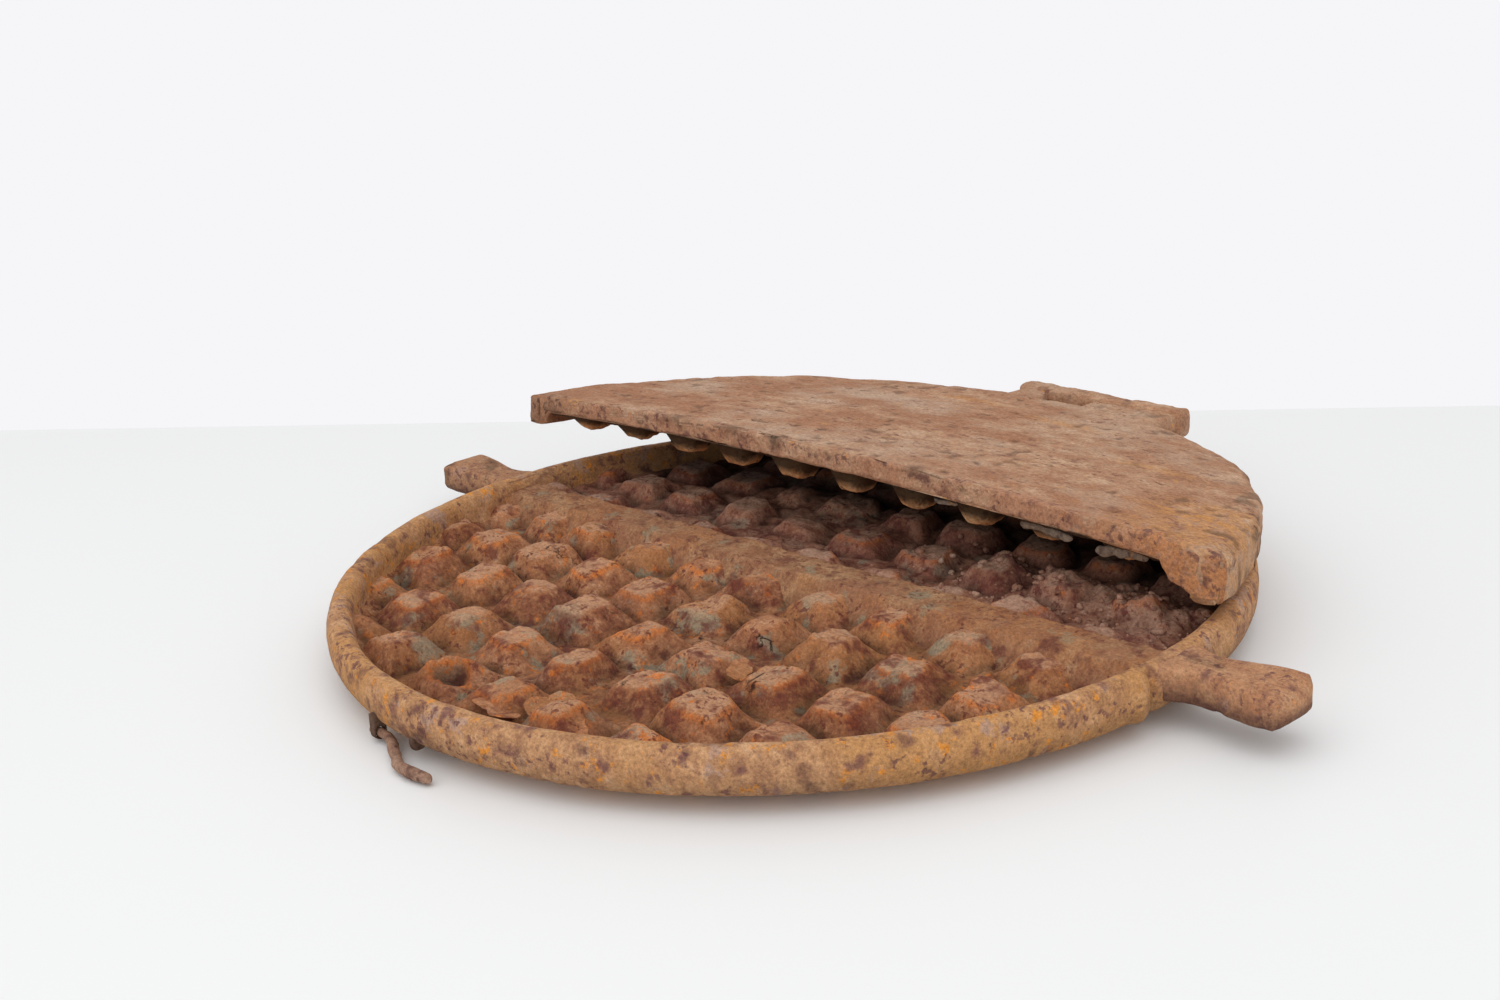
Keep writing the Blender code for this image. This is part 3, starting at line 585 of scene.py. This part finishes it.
# ---- Base: handles
# A fishtail handle is cast on at each end of the rib, flush with the top of the rim. It is narrow where it
# leaves the rim and flares to a blunt tip that a hand can lift.
HANDLE_ROOT = 0.1195
HANDLE_TIP = 0.1540
HANDLE_MIDDLE_HEIGHT = 0.01095
HANDLE_HALF_HEIGHT = 0.0044
HANDLE_SQUARENESS = 6.5
HANDLE_TIP_LENGTH = 0.003
NEAR_HANDLE_LIFT = 0.0003
FAR_HANDLE_LIFT = 0.0014


def handle_rings(side, seed):
    """Superelliptic sections along X. The half width falls from the root to the neck and rises to the tip by
    smooth steps. Both half sizes close at the tip as a root of what is left of its last 3 mm."""
    straight = np.linspace(HANDLE_ROOT, HANDLE_TIP - HANDLE_TIP_LENGTH, 84)
    closing = HANDLE_TIP - HANDLE_TIP_LENGTH * np.linspace(1, 0.004, 26)[1:] ** 1.6
    along = np.concatenate([straight, closing])
    half = 0.0092 - 0.0030 * ease(along, 0.1215, 0.1300) + 0.0024 * ease(along, 0.1305, 0.1475)
    close = np.clip((HANDLE_TIP - along) / HANDLE_TIP_LENGTH, 0, 1) ** (1 / 3.2)
    angle = np.linspace(0, 2 * np.pi, 96, endpoint=False)
    wide, tall = squared(angle, 2 / HANDLE_SQUARENESS)
    raised = NEAR_HANDLE_LIFT if side > 0 else FAR_HANDLE_LIFT
    lift = HANDLE_MIDDLE_HEIGHT + raised * ease(along, 0.125, 0.15)
    rings = np.stack([
        side * along[:, None] * np.ones_like(angle),
        side * (half * close)[:, None] * wide,
        lift[:, None] + (HANDLE_HALF_HEIGHT * close)[:, None] * tall,
    ], axis=-1)
    lump = 0.00018 * crust(rings, 0.009, 2, seed) + 0.00012 * crust(rings, 0.0028, 3, seed + 1)
    pit = ease(crust(rings, 0.006, 2, seed + 2), 0.4, 0.9)
    calm = ease(HANDLE_TIP - along, 0.0, 0.0006)[:, None]
    return rings + outward(rings) * ((lump - 0.0003 * pit) * calm)[..., None], pit


handle_rust = rusted_iron(
    "tan_and_purple_rust",
    ((148, 102, 78), (176, 128, 96), (190, 144, 108), (200, 160, 128)),
    (178, 124, 88), (118, 78, 72), (172, 134, 116), (204, 128, 66),
    (196, 158, 128),
    dark_share=0.44, dark_size=0.0065, speck_share=0.46, patch_share=0.37, glow_share=0.37, relief=0.7,
)
for name, side, seed in (("near_handle", 1, 51), ("far_handle", -1, 55)):
    rings, pit = handle_rings(side, seed)
    depth = HANDLE_MIDDLE_HEIGHT - rings[..., 2]
    # Painted shade on the lower part of each handle's sides and a little over the whole far handle; pits are darkened
    # too.
    shade = 0.4 * pit + 0.46 * ease(depth + 0.0020, 0, 0.005) + 0.12 * (side < 0)
    handle = ringed(name, rings, {"shade_and_dark_rust": shade, "scorch": 0.85 * ease(depth + 0.0016, 0, 0.0035)})
    finish_piece(handle, handle_rust, "base", "base_plate")


# ---- Lid: crowned plate and lip
# Half of the lid is left, one iron casting that lies loose on the base: a crowned plate 6 mm thick, with a
# lip 12 mm deep that follows its arc only. Its top has a dusty pinkish bloom over streaky brown rust.
LID_RADIUS = 0.125
LID_EDGE = 0.008
LID_THICKNESS = 0.006
LID_CROWN = 0.0042
LID_SHOULDER = 0.0040
LIP_DEPTH = 0.0120
LID_RIGHT_CORNER = 0.0050
LID_LEFT_CORNER = 0.0022
LID_STREAKS = ((0.0740, 0.0620), (0.1010, 0.0300), (-0.0100, 0.0980), (0.0260, 0.0900))
LID_NICKS = ((-0.0560, 0.0030), (-0.0330, 0.0045), (-0.0160, 0.0030), (0.0330, 0.0025))
LID_PLACE = (-0.0005, 0.0071, 0.03768)
LID_LEANS = (math.radians(-4.46), math.radians(1.78), math.radians(2.2))


def laid(points):
    """Points of the level lid laid where it was found: turned about X, then Y, then Z, and moved."""
    (sin_x, sin_y, sin_z), (cos_x, cos_y, cos_z) = np.sin(LID_LEANS), np.cos(LID_LEANS)
    about_x = np.array([[1, 0, 0], [0, cos_x, -sin_x], [0, sin_x, cos_x]])
    about_y = np.array([[cos_y, 0, sin_y], [0, 1, 0], [-sin_y, 0, cos_y]])
    about_z = np.array([[cos_z, -sin_z, 0], [sin_z, cos_z, 0], [0, 0, 1]])
    return points @ (about_z @ about_y @ about_x).T + np.array(LID_PLACE)


def crown(x, y):
    """Height of the lid's top: it falls from the middle with the square of the distance from it."""
    return LID_CROWN * (1 - (x * x + y * y) / LID_RADIUS**2)


def lid_rings():
    """One closed loop for each direction. A loop starts at the front face near the middle, runs over the top to
    the arc, round the shoulder, down the lip, under it, up its inner side and back below the plate."""
    swing = np.linspace(0, np.pi, 470)[:, None]
    start = np.concatenate([0.020 * np.cos(swing), np.full_like(swing, LID_EDGE)], axis=1)
    rim_angle = math.asin(LID_EDGE / LID_RADIUS) + swing * (1 - 2 * math.asin(LID_EDGE / LID_RADIUS) / np.pi)
    end = LID_RADIUS * np.concatenate([np.cos(rim_angle), np.sin(rim_angle)], axis=1)
    reach = np.linalg.norm(end - start, axis=1, keepdims=True)
    deeper = 1 + 0.13 * ease(end[:, :1], 0.105, 0.1245) * (end[:, 1:] < 0.04)
    deeper -= 0.17 * ease(-end[:, :1], 0.1175, 0.1245)
    bend = np.linspace(0, np.pi / 2, 12)[1:]
    inset = np.concatenate([
        LID_SHOULDER * (1 - np.sin(bend)), np.zeros(9), [0.0003, 0.0009, 0.0020, 0.0045, 0.0068, 0.0079, 0.0086],
        0.0090 + 0.0025 * np.linspace(0, 1, 9) ** 2,
    ])
    wall = np.linspace(0, 1, 10)[1:]
    inner_wall = np.linspace(0, 1, 9)
    top = np.linspace(0, 1, 132) ** 0.97
    top_inset = reach - (reach - LID_SHOULDER) * top
    under_inset = 0.0115 + (reach - 0.0115) * np.linspace(0, 1, 11)[1:]
    ones = np.ones_like(reach)
    inset = np.concatenate([top_inset, ones * inset, under_inset], axis=1)
    share = inset / reach
    x = end[:, :1] + (start[:, :1] - end[:, :1]) * share
    y = end[:, 1:] + (start[:, 1:] - end[:, 1:]) * share
    plate = crown(x, y)
    edge_height = LID_CROWN * (1 - (1 - LID_SHOULDER / LID_RADIUS) ** 2)
    shoulder = edge_height - LID_SHOULDER * (1 - np.cos(bend))
    outer = shoulder[-1] + (-LIP_DEPTH * deeper + 0.0018 - shoulder[-1]) * wall
    foot = -LIP_DEPTH * deeper + np.array([0.0009, 0.0003, 0.0, 0.0, 0.0001, 0.0004, 0.0010])
    roof = plate[:, -11:-10] - LID_THICKNESS
    inner = foot[:, -1:] + (roof - foot[:, -1:]) * inner_wall
    z = np.concatenate([plate[:, :132], ones * shoulder, outer, foot, inner, plate[:, -10:] - LID_THICKNESS], axis=1)
    front_face = np.linspace(1, 0, 5)[1:-1]
    low, high = z[:, -1:], z[:, :1]
    x = np.concatenate([x, np.repeat(x[:, -1:], 3, axis=1)], axis=1)
    y = np.concatenate([y, np.repeat(y[:, -1:], 3, axis=1)], axis=1)
    z = np.concatenate([z, high + (low - high) * front_face], axis=1)
    return np.stack([x, y, z], axis=-1)


def round_corners(rings):
    """Both corners of the front edge made round: where a point lies beyond a corner's middle both ways, its
    offset is scaled from a square's norm to a circle's."""
    x, y = rings[..., 0], rings[..., 1]
    corner = np.where(x > 0, LID_RIGHT_CORNER, LID_LEFT_CORNER)
    off_x = np.abs(x) - (LID_RADIUS - corner)
    off_y = LID_EDGE - 0.0005 + corner - y
    square = np.maximum(off_x, off_y)
    scale = np.where((off_x > 0) & (off_y > 0), square / np.maximum(np.hypot(off_x, off_y), 1e-9), 1.0)
    new_x = np.where(scale < 1, np.sign(x) * (LID_RADIUS - corner + off_x * scale), x)
    new_y = np.where(scale < 1, LID_EDGE - 0.0005 + corner - off_y * scale, y)
    return np.stack([new_x, new_y, rings[..., 2]], axis=-1)


rings = round_corners(lid_rings())
x, y, z = np.moveaxis(rings, -1, 0)
ragged = ease(x, 0.03, 0.10) * ease(np.hypot(x, y), 0.117, 0.125)
lump = 0.00030 * crust(rings, 0.016, 2, 61) + 0.00014 * crust(rings, 0.0040, 3, 62)
lump += ragged * (0.0006 * crust(rings, 0.011, 2, 63) - 0.0006)
turned = np.degrees(np.arctan2(y, x))
lump -= 0.0010 * ease(turned, 6, 14) * ease(turned, 48, 34) * ease(np.hypot(x, y), 0.119, 0.125)
level, _ = scales(rings * np.array([0.6, 1.0, 1.0]), 0.006, 64)
pit = ease(crust(rings, 0.0045, 2, 65), 0.50, 0.95)
lump += 0.00012 * (level - 0.5) - 0.00022 * pit
corner = ease(x, 0.080, 0.112) * (y < 0.045)
nicks = 0.0 * x
for nick, width in LID_NICKS:
    nicks += 0.55 * np.exp(-((x - nick) / width) ** 2 - ((y - LID_EDGE) / 0.0032) ** 2)
streaks = 0.0 * x
for streak_x, streak_y in LID_STREAKS:
    streaks += 0.55 * np.exp(-((x - streak_x) / 0.0120) ** 2 - ((y - streak_y) / 0.0030) ** 2)
arc_shade = 0.5 * ease(np.hypot(x, y), 0.1205, 0.1248) * ease(crust(rings, 0.009, 3, 66), -0.1, 0.5)
rings = rings + outward(rings) * (lump - 0.0004)[..., None]
# Painted shade along the ragged arc; the nicks of the front edge and the pits are darkened too.
lid_marks = {"shade_and_dark_rust": 0.4 * pit + arc_shade + nicks, "edge": 0.5 * corner + streaks}
right_end, left_end = laid(np.array([[0.118, LID_EDGE, -0.004], [-0.118, LID_EDGE, -0.004]]))
lid = ringed("half_lid_shell", laid(rings), lid_marks, right_end, left_end)
lid_rust = rusted_iron(
    "dusty_pink_rust",
    ((148, 104, 78), (174, 130, 100), (188, 148, 118), (202, 170, 142)),
    (156, 106, 76), (120, 80, 66), (194, 168, 146), (204, 144, 78),
    (188, 156, 132),
    stretch=0.75, dark_share=0.40, dark_size=0.0058, speck_share=0.42, patch_share=0.52, patch_size=0.030,
    patch_soft=0.20, glow_share=0.37, relief=0.40,
)
finish_piece(lid, lid_rust, "lid", "half_lid")


# ---- Lid: studs below
# The lid's studs hang from its underside in the same kind of grid as the base's. Their blunt tips were worn
# by the base's studs; their pale tan is that wear and also a painted highlight, and all above the tips gets
# painted shade, so they show as pale tan ovals in the dark under the front edge.
LID_STUD_PITCH = 0.0217
LID_STUD_SHIFT = 0.0070
LID_STUD_ROW = 0.0170
LID_STUD_TIP = -0.0086
LID_FIELD_RADIUS = 0.1135


def lid_stud_depth(x, y):
    """How far the underside hangs, as a height. It is the plate's underside, or the stud's slope from half its
    foot to half its tip where that is lower, with the distance measured by a rounded square's norm."""
    column = np.rint((x - LID_STUD_SHIFT) / LID_STUD_PITCH)
    row = np.maximum(np.rint((y - LID_STUD_ROW) / LID_STUD_PITCH), 0)
    key = np.stack([column, row, 0 * row], axis=-1).astype(np.int64)
    chance = [lattice_value(key, seed) for seed in range(71, 75)]
    along = x - LID_STUD_SHIFT - column * LID_STUD_PITCH
    across = y - LID_STUD_ROW - row * LID_STUD_PITCH
    power = 2.4 + 2.0 * chance[0]
    away = (np.abs(along) ** power + np.abs(across) ** power) ** (1 / power)
    share = np.clip((0.0074 - away) / 0.0036, 0, 1)
    roof = crown(x, y) - LID_THICKNESS
    tip = LID_STUD_TIP + 0.0008 * (chance[1] - 0.5)
    inside = np.hypot(LID_STUD_SHIFT + column * LID_STUD_PITCH, LID_STUD_ROW + row * LID_STUD_PITCH) < 0.112
    rounded = 0.5 * ease(share, -0.1, 1.1) + 0.5 * share
    return np.where(inside, roof + (tip - roof) * rounded, roof)


y = np.linspace(LID_EDGE + 0.0004, 0.1130, 140)[:, None] * np.ones(290)
x = np.sqrt(np.maximum(LID_FIELD_RADIUS**2 - y**2, 1e-8)) * np.linspace(-1, 1, 290)
depth = lid_stud_depth(x, y)
flat = np.stack([x, y, 0 * x], axis=-1)
depth = depth - 0.0001 + 0.00030 * crust(flat, 0.005, 2, 76) + 0.00018 * crust(flat, 0.002, 2, 77)
grid = np.stack([x, y, depth], axis=-1)
# Painted shade: the roof and upper flanks are darkened nearly to black, leaving only the stud tips light.
shade = 1 - ease(0.0006 * crust(flat, 0.004, 2, 78) - depth, 0.0060, 0.0084)
under = slab("lid_studs", grid, 0.0, {"shade_and_dark_rust": shade})
coordinates = np.empty(3 * len(under.data.vertices))
under.data.vertices.foreach_get("co", coordinates)
coordinates = coordinates.reshape(-1, 3)
edge_count = len(coordinates) - grid.shape[0] * grid.shape[1]
hidden = coordinates[-edge_count:]
hidden[:, 2] = crown(hidden[:, 0], hidden[:, 1]) - 0.003
under.data.vertices.foreach_set("co", laid(coordinates).ravel())
under.data.update()
# Pale tones for the tips: their wear, and also a painted highlight for the light that reaches them under the lid.
tip_rust = rusted_iron(
    "worn_and_painted_lit_tip_rust",
    ((150, 102, 72), (212, 160, 112), (232, 186, 136), (240, 206, 164)),
    (212, 150, 98), (110, 72, 56), (206, 168, 130), (220, 146, 72),
    (200, 164, 126),
    dark_share=0.42, speck_share=0.42, patch_share=0.38, glow_share=0.36, relief=0.7,
)
finish_piece(under, tip_rust, "lid", "half_lid")


# ---- Lid: front face
# The lid ends in a straight, fairly clean face along its middle, 6 mm high over the plate and as deep as the
# lip at both ends. The face has its own lumps and is darker towards its left end.
def face_rings():
    """Rounded rectangles along X. Each reaches from the crowned top down to the plate's underside, or to the
    lip's foot in the last 12 mm, and both ends close as a quarter round."""
    share = np.linspace(-1, 1, 520)
    x = 0.1247 * np.sin(share * np.pi / 2 * 0.985) / math.sin(np.pi / 2 * 0.985)
    top = crown(x, LID_EDGE) - 0.0008 * ease(np.abs(x), 0.119, 0.1247)
    lip = 0.0044 * ease(x, 0.1065, 0.1105) + 0.0032 * ease(x, 0.109, 0.1215) + 0.0034 * ease(-x, 0.114, 0.1185)
    bottom = crown(x, LID_EDGE) - LID_THICKNESS - lip
    close = np.clip((0.12475 - np.abs(x)) / 0.0022, 0, 1) ** (1 / 2.6)
    angle = np.linspace(0, 2 * np.pi, 60, endpoint=False)
    deep, tall = squared(angle, 2 / 5)
    half = (top - bottom) / 2 * (0.55 + 0.45 * close)
    return np.stack([
        x[:, None] * np.ones_like(angle),
        LID_EDGE + 0.0016 + 0.0021 * deep * close[:, None],
        ((top + bottom) / 2)[:, None] + half[:, None] * tall,
    ], axis=-1)


rings = round_corners(face_rings())
lump = 0.00035 * crust(rings, 0.008, 2, 81) + 0.00022 * crust(rings, 0.0028, 3, 82) - 0.0003
pit = ease(crust(rings, 0.0045, 2, 83), 0.45, 0.9)
rings = rings + outward(rings) * (lump - 0.0004 * pit)[..., None]
face_nicks = 0.0 * pit
near_top = ease(rings[..., 2] - crown(rings[..., 0], LID_EDGE), -0.004, 0.0)
for nick, width in LID_NICKS:
    face_nicks += 0.5 * np.exp(-((rings[..., 0] - nick) / width) ** 2) * near_top
# The face's rust is darker towards its left end; its pits and nicks are darkened too.
left_end_dark_rust = 0.30 * ease(-rings[..., 0], 0.09, 0.122)
face_marks = {"shade_and_dark_rust": 0.45 * pit + left_end_dark_rust + face_nicks, "edge": 0.5 * ease(rings[..., 0], 0.080, 0.112)}
face = ringed("lid_front_face", laid(rings), face_marks)
face_rust = rusted_iron(
    "broken_edge_rust",
    ((140, 98, 78), (178, 134, 106), (192, 152, 122), (204, 168, 140)),
    (176, 124, 94), (110, 74, 68), (156, 132, 118), (204, 134, 72),
    (190, 150, 120),
    dark_share=0.44, dark_size=0.0042, speck_share=0.46, patch_share=0.38, glow_share=0.36, relief=0.8,
)
finish_piece(face, face_rust, "lid", "half_lid")


# ---- Lid: scale below the front face
# Grey scale has come away from the iron of the underside along the front edge. It hangs below the edge in
# thin ragged slabs. Below: left, right, front, back, bottom and top of each, on the level lid.
SLABS = (
    (0.0660, 0.0815, 0.0100, 0.0122, -0.0062, -0.0040),
    (0.0885, 0.1030, 0.0098, 0.0118, -0.0078, -0.0050),
    (0.0385, 0.0465, 0.0100, 0.0116, -0.0048, -0.0034),
)


def bar_rings(left, right, front, back, bottom, top, corner, rows, around, square):
    """Rounded rectangles along X between two ends, which close over the last stretch as a quarter round."""
    x = (left + right) / 2 - (right - left) / 2 * np.cos(np.linspace(0.02, np.pi - 0.02, rows))
    close = (1 - np.clip(1 - np.minimum(x - left, right - x) / corner, 0, 1) ** 2.6) ** (1 / 2.6)
    angle = np.linspace(0, 2 * np.pi, around, endpoint=False)
    deep, tall = squared(angle, 2 / square)
    return np.stack([
        x[:, None] * np.ones_like(angle),
        (front + back) / 2 + (back - front) / 2 * deep * close[:, None],
        (bottom + top) / 2 + (top - bottom) / 2 * tall * close[:, None],
    ], axis=-1)


scale_rust = rusted_iron(
    "grey_scale",
    ((92, 78, 68), (122, 108, 96), (144, 130, 116), (162, 146, 132)),
    (128, 104, 86), (76, 58, 52), (116, 104, 96), (164, 118, 76),
    (150, 132, 116), relief=0.8,
)
for index, (left, right, front, back, bottom, top) in enumerate(SLABS):
    rings = bar_rings(left, right, front, back, bottom, top, 0.004, 60, 32, 3.0)
    rings[..., 2] += 0.0007 * crust(rings * [1, 0, 0], 0.0045, 2, 151 + index)
    rings += outward(rings) * (0.0003 * crust(rings, 0.0024, 3, 161 + index))[..., None]
    hung = ringed(f"hanging_scale_{index + 1}", laid(rings))
    finish_piece(hung, scale_rust, "lid", "half_lid")


# ---- Lid: rear bar
# A short straight bar is cast behind the middle of the lid's arc, for lifting it. Two webs join it to the
# arc, and rust has nearly closed the slot between them.
BAR_LEFT = -0.0160
BAR_RIGHT = 0.0450
BAR_FRONT = 0.1280
BAR_BACK = 0.1360
BAR_TOP = 0.0018
BAR_BOTTOM = -0.0072
WEB_FRONT = 0.112
WEB_BACK = 0.132
WEB_BOTTOM = -0.0056

WEBS = (WEB_FRONT, WEB_BACK, WEB_BOTTOM)

pieces = (
    ("rear_bar", (BAR_LEFT, BAR_RIGHT, BAR_FRONT, BAR_BACK, BAR_BOTTOM, BAR_TOP, 0.002, 130, 56, 4.5), 91),
    ("left_web", (BAR_LEFT + 0.001, BAR_LEFT + 0.013, *WEBS, 0.0004, 0.002, 40, 56, 5.0), 94),
    ("right_web", (BAR_RIGHT - 0.031, BAR_RIGHT - 0.001, *WEBS, 0.0006, 0.002, 60, 56, 5.0), 97),
)
for name, sizes, seed in pieces:
    rings = bar_rings(*sizes)
    lump = 0.00045 * crust(rings, 0.009, 2, seed) + 0.00020 * crust(rings, 0.003, 3, seed + 1)
    pit = ease(crust(rings, 0.005, 2, seed + 2), 0.5, 0.9)
    rings = rings + outward(rings) * (lump - 0.0003 * pit)[..., None]
    bar = ringed(name, laid(rings), {"shade_and_dark_rust": 0.4 * pit})
    finish_piece(bar, lid_rust, "lid", "half_lid")


# ---- Catch wire and its ears
# A bent wire lies in an ear under the front of the rim and could swing up to hold the iron shut. It is iron
# wire about 2.5 mm thick, flaky with rust. Two ears are cast on the rim's underside.
PIVOT = np.array([0.0, -0.1230, 0.0024])
EAR_HALF_WIDTH = 0.00175
EAR_HEIGHT = 0.0052
EAR_HALF_THICKNESS = 0.0011
EAR_HOLE = 0.00136
EAR_PLACE = -0.0175
WIRE_ROUTE = np.array([
    [-0.0208, 0.0, 0.0], [-0.0165, 0.0, 0.0], [-0.0130, -0.0002, 0.0], [-0.0110, -0.0008, -0.0001],
    [-0.0085, -0.0021, -0.0003], [-0.0050, -0.0040, -0.0004], [-0.0012, -0.0058, -0.0006],
    [0.0010, -0.0068, -0.0007], [0.0030, -0.0071, -0.0007], [0.0062, -0.0070, -0.0007],
    [0.0095, -0.0066, -0.0007], [0.0128, -0.0062, -0.0007],
])


def wire_rings():
    """Circles round the route. Each is square to the route, and its radius grows from the pivot end to the leg
    and closes at both ends as a quarter round."""
    length = np.concatenate([[0], np.cumsum(np.linalg.norm(np.diff(WIRE_ROUTE, axis=0), axis=1))])
    along = length[-1] * (1 - np.cos(np.linspace(0.01, np.pi - 0.01, 200))) / 2
    middle = np.stack([np.interp(along, length, WIRE_ROUTE[:, axis]) for axis in range(3)], axis=-1)
    for _ in range(40):
        middle[1:-1] = (middle[:-2] + 2 * middle[1:-1] + middle[2:]) / 4
    ahead = np.gradient(middle, axis=0)
    ahead /= np.linalg.norm(ahead, axis=1, keepdims=True)
    side = np.cross(ahead, [0, 0, 1])
    side /= np.linalg.norm(side, axis=1, keepdims=True)
    over = np.cross(side, ahead)
    radius = 0.0011 + 0.0002 * ease(along, 0.0085, 0.0115)
    left = np.minimum(along, length[-1] - along)
    radius = radius * np.sqrt(1 - np.clip(1 - left / 0.0012, 0, 1) ** 2)
    angle = np.linspace(0, 2 * np.pi, 40, endpoint=False)[:, None]
    ring = np.cos(angle) * side[:, None] + np.sin(angle) * over[:, None]
    return middle[:, None] + radius[:, None, None] * ring, along


rings, along = wire_rings()
gnarl = ease(along, 0.0100, 0.0125)[:, None]
lump = 0.00028 * crust(rings, 0.004, 2, 101) * gnarl + 0.00010 * crust(rings, 0.0012, 2, 102) * gnarl
rings = rings + outward(rings) * lump[..., None] + PIVOT
rings[..., 2] = np.maximum(rings[..., 2], 0.0001)
wire = ringed("catch_wire_rusted", rings)
wire_rust = rusted_iron(
    "scaly_wire_rust",
    ((100, 68, 56), (146, 112, 94), (166, 132, 112), (180, 146, 124)),
    (150, 112, 90), (84, 54, 46), (150, 126, 112), (170, 108, 70),
    (160, 130, 110),
    dark_share=0.44, dark_size=0.0030, speck_share=0.44, patch_share=0.36, glow_share=0.35, relief=0.9,
)
finish_piece(wire, wire_rust, "catch", "catch_wire")


def ear_rings(place):
    """Superelliptic sections that go once round the hole. Between the hole's circle and the ear's outline each
    takes half the gap as its half width; the outline is a circle below the pivot and a rectangle above it."""
    angle = np.linspace(0, 2 * np.pi, 60, endpoint=False)[:, None]
    section = np.linspace(0, 2 * np.pi, 24, endpoint=False)
    thick, wide = squared(section, 0.6)
    reach = np.maximum(np.abs(np.cos(angle)), np.abs(np.sin(angle)) * EAR_HALF_WIDTH / EAR_HEIGHT)
    outline = np.where(np.sin(angle) < 0, EAR_HALF_WIDTH, EAR_HALF_WIDTH / reach)
    radius = (EAR_HOLE + outline) / 2 + (outline - EAR_HOLE) / 2 * wide
    points = np.stack([
        place + EAR_HALF_THICKNESS * thick * np.ones_like(angle),
        radius * np.cos(angle),
        radius * np.sin(angle),
    ], axis=-1)
    return points + PIVOT


loops = ear_rings(EAR_PLACE)
loops[..., 2] = np.maximum(loops[..., 2], 0.0001)
rows, columns = loops.shape[:2]
here = np.arange(rows * columns).reshape(rows, columns)
following = np.roll(here, -1, axis=0)
corners = np.stack([here, np.roll(here, -1, axis=1), np.roll(following, -1, axis=1), following], axis=-1)
no_fans = np.zeros((0, 3), int)
# Painted shade: the ear is darkened to sink into the shadow under the rim.
ear = shaped("ear_1", loops.reshape(-1, 3), corners.reshape(-1, 4), no_fans, {"shade_and_dark_rust": np.full(rows * columns, 0.6)})
finish_piece(ear, wire_rust, "base", "base_plate")

# The second ear has rusted down to a stub.
rings = bar_rings(-0.0026, 0.0002, -0.1246, -0.1212, 0.0026, 0.0066, 0.001, 30, 32, 3.0)
rings = rings + outward(rings) * (0.0003 * crust(rings, 0.003, 2, 171))[..., None]
# Painted shade: the stub is darkened to sink into the shadow under the rim.
stub = ringed("ear_2", rings, {"shade_and_dark_rust": np.full(rings.shape[:2], 0.5)})
finish_piece(stub, wire_rust, "base", "base_plate")


# ---- Table, light and camera
# The iron stands on a pale table that ends in a straight edge behind it, against a pale wall. One large soft
# lamp hangs over it and the room's own light fills the rest.
edge_left = np.array([-0.4153, -0.0531])
edge_right = np.array([0.0759, 0.2890])
edge_way = (edge_right - edge_left) / np.linalg.norm(edge_right - edge_left)
towards = np.array([edge_way[1], -edge_way[0]])
corners = [edge_left - 2.5 * edge_way, edge_right + 2.5 * edge_way]
corners += [corners[1] + 2.8 * towards, corners[0] + 2.8 * towards]
table_mesh = bpy.data.meshes.new("table")
table_mesh.from_pydata([(*corner, -0.0002) for corner in corners][::-1], [], [(0, 1, 2, 3)])
table = bpy.data.objects.new("table", table_mesh)
bpy.context.scene.collection.objects.link(table)
table_paint = bpy.data.materials.new("pale_table")
table_paint.use_nodes = True
table_paint.node_tree.nodes["Principled BSDF"].inputs["Base Color"].default_value = (0.900, 0.910, 0.915, 1.0)
table_paint.node_tree.nodes["Principled BSDF"].inputs["Roughness"].default_value = 0.55
table_mesh.materials.append(table_paint)

room = bpy.data.worlds.new("room")
bpy.context.scene.world = room
room.use_nodes = True
tree = room.node_tree
tree.nodes.clear()
light_path = tree.nodes.new("ShaderNodeLightPath")
wall = tree.nodes.new("ShaderNodeBackground")
wall.inputs["Color"].default_value = as_seen(246, 245, 248)
fill = tree.nodes.new("ShaderNodeBackground")
fill.inputs["Color"].default_value = (1.0, 0.995, 0.99, 1.0)
fill.inputs["Strength"].default_value = 0.70
either = tree.nodes.new("ShaderNodeMixShader")
output = tree.nodes.new("ShaderNodeOutputWorld")
seen = light_path.outputs["Is Camera Ray"]
for ray in ("Is Glossy Ray", "Is Transmission Ray"):
    wider = tree.nodes.new("ShaderNodeMath")
    wider.operation = "MAXIMUM"
    tree.links.new(seen, wider.inputs[0])
    tree.links.new(light_path.outputs[ray], wider.inputs[1])
    seen = wider.outputs[0]
tree.links.new(seen, either.inputs[0])
tree.links.new(fill.outputs[0], either.inputs[1])
tree.links.new(wall.outputs[0], either.inputs[2])
tree.links.new(either.outputs[0], output.inputs["Surface"])

lamp_data = bpy.data.lights.new("overhead_lamp", "AREA")
lamp_data.shape = "DISK"
lamp_data.size = 2.3
lamp_data.energy = 8.8
lamp = bpy.data.objects.new("overhead_lamp", lamp_data)
lamp.location = (0.28, -0.55, 1.00)
lamp.rotation_euler = (math.radians(28), math.radians(15), 0)
bpy.context.scene.collection.objects.link(lamp)

eye = bpy.data.cameras.new("camera")
eye.sensor_width = 36.0
eye.lens = 41.21
camera = bpy.data.objects.new("camera", eye)
camera.location = (0.31683, -0.31466, 0.17396)
camera.rotation_euler = (1.25901, 0.06631, 0.78797)
bpy.context.scene.collection.objects.link(camera)
bpy.context.scene.camera = camera
bpy.context.scene.view_settings.view_transform = "Standard"
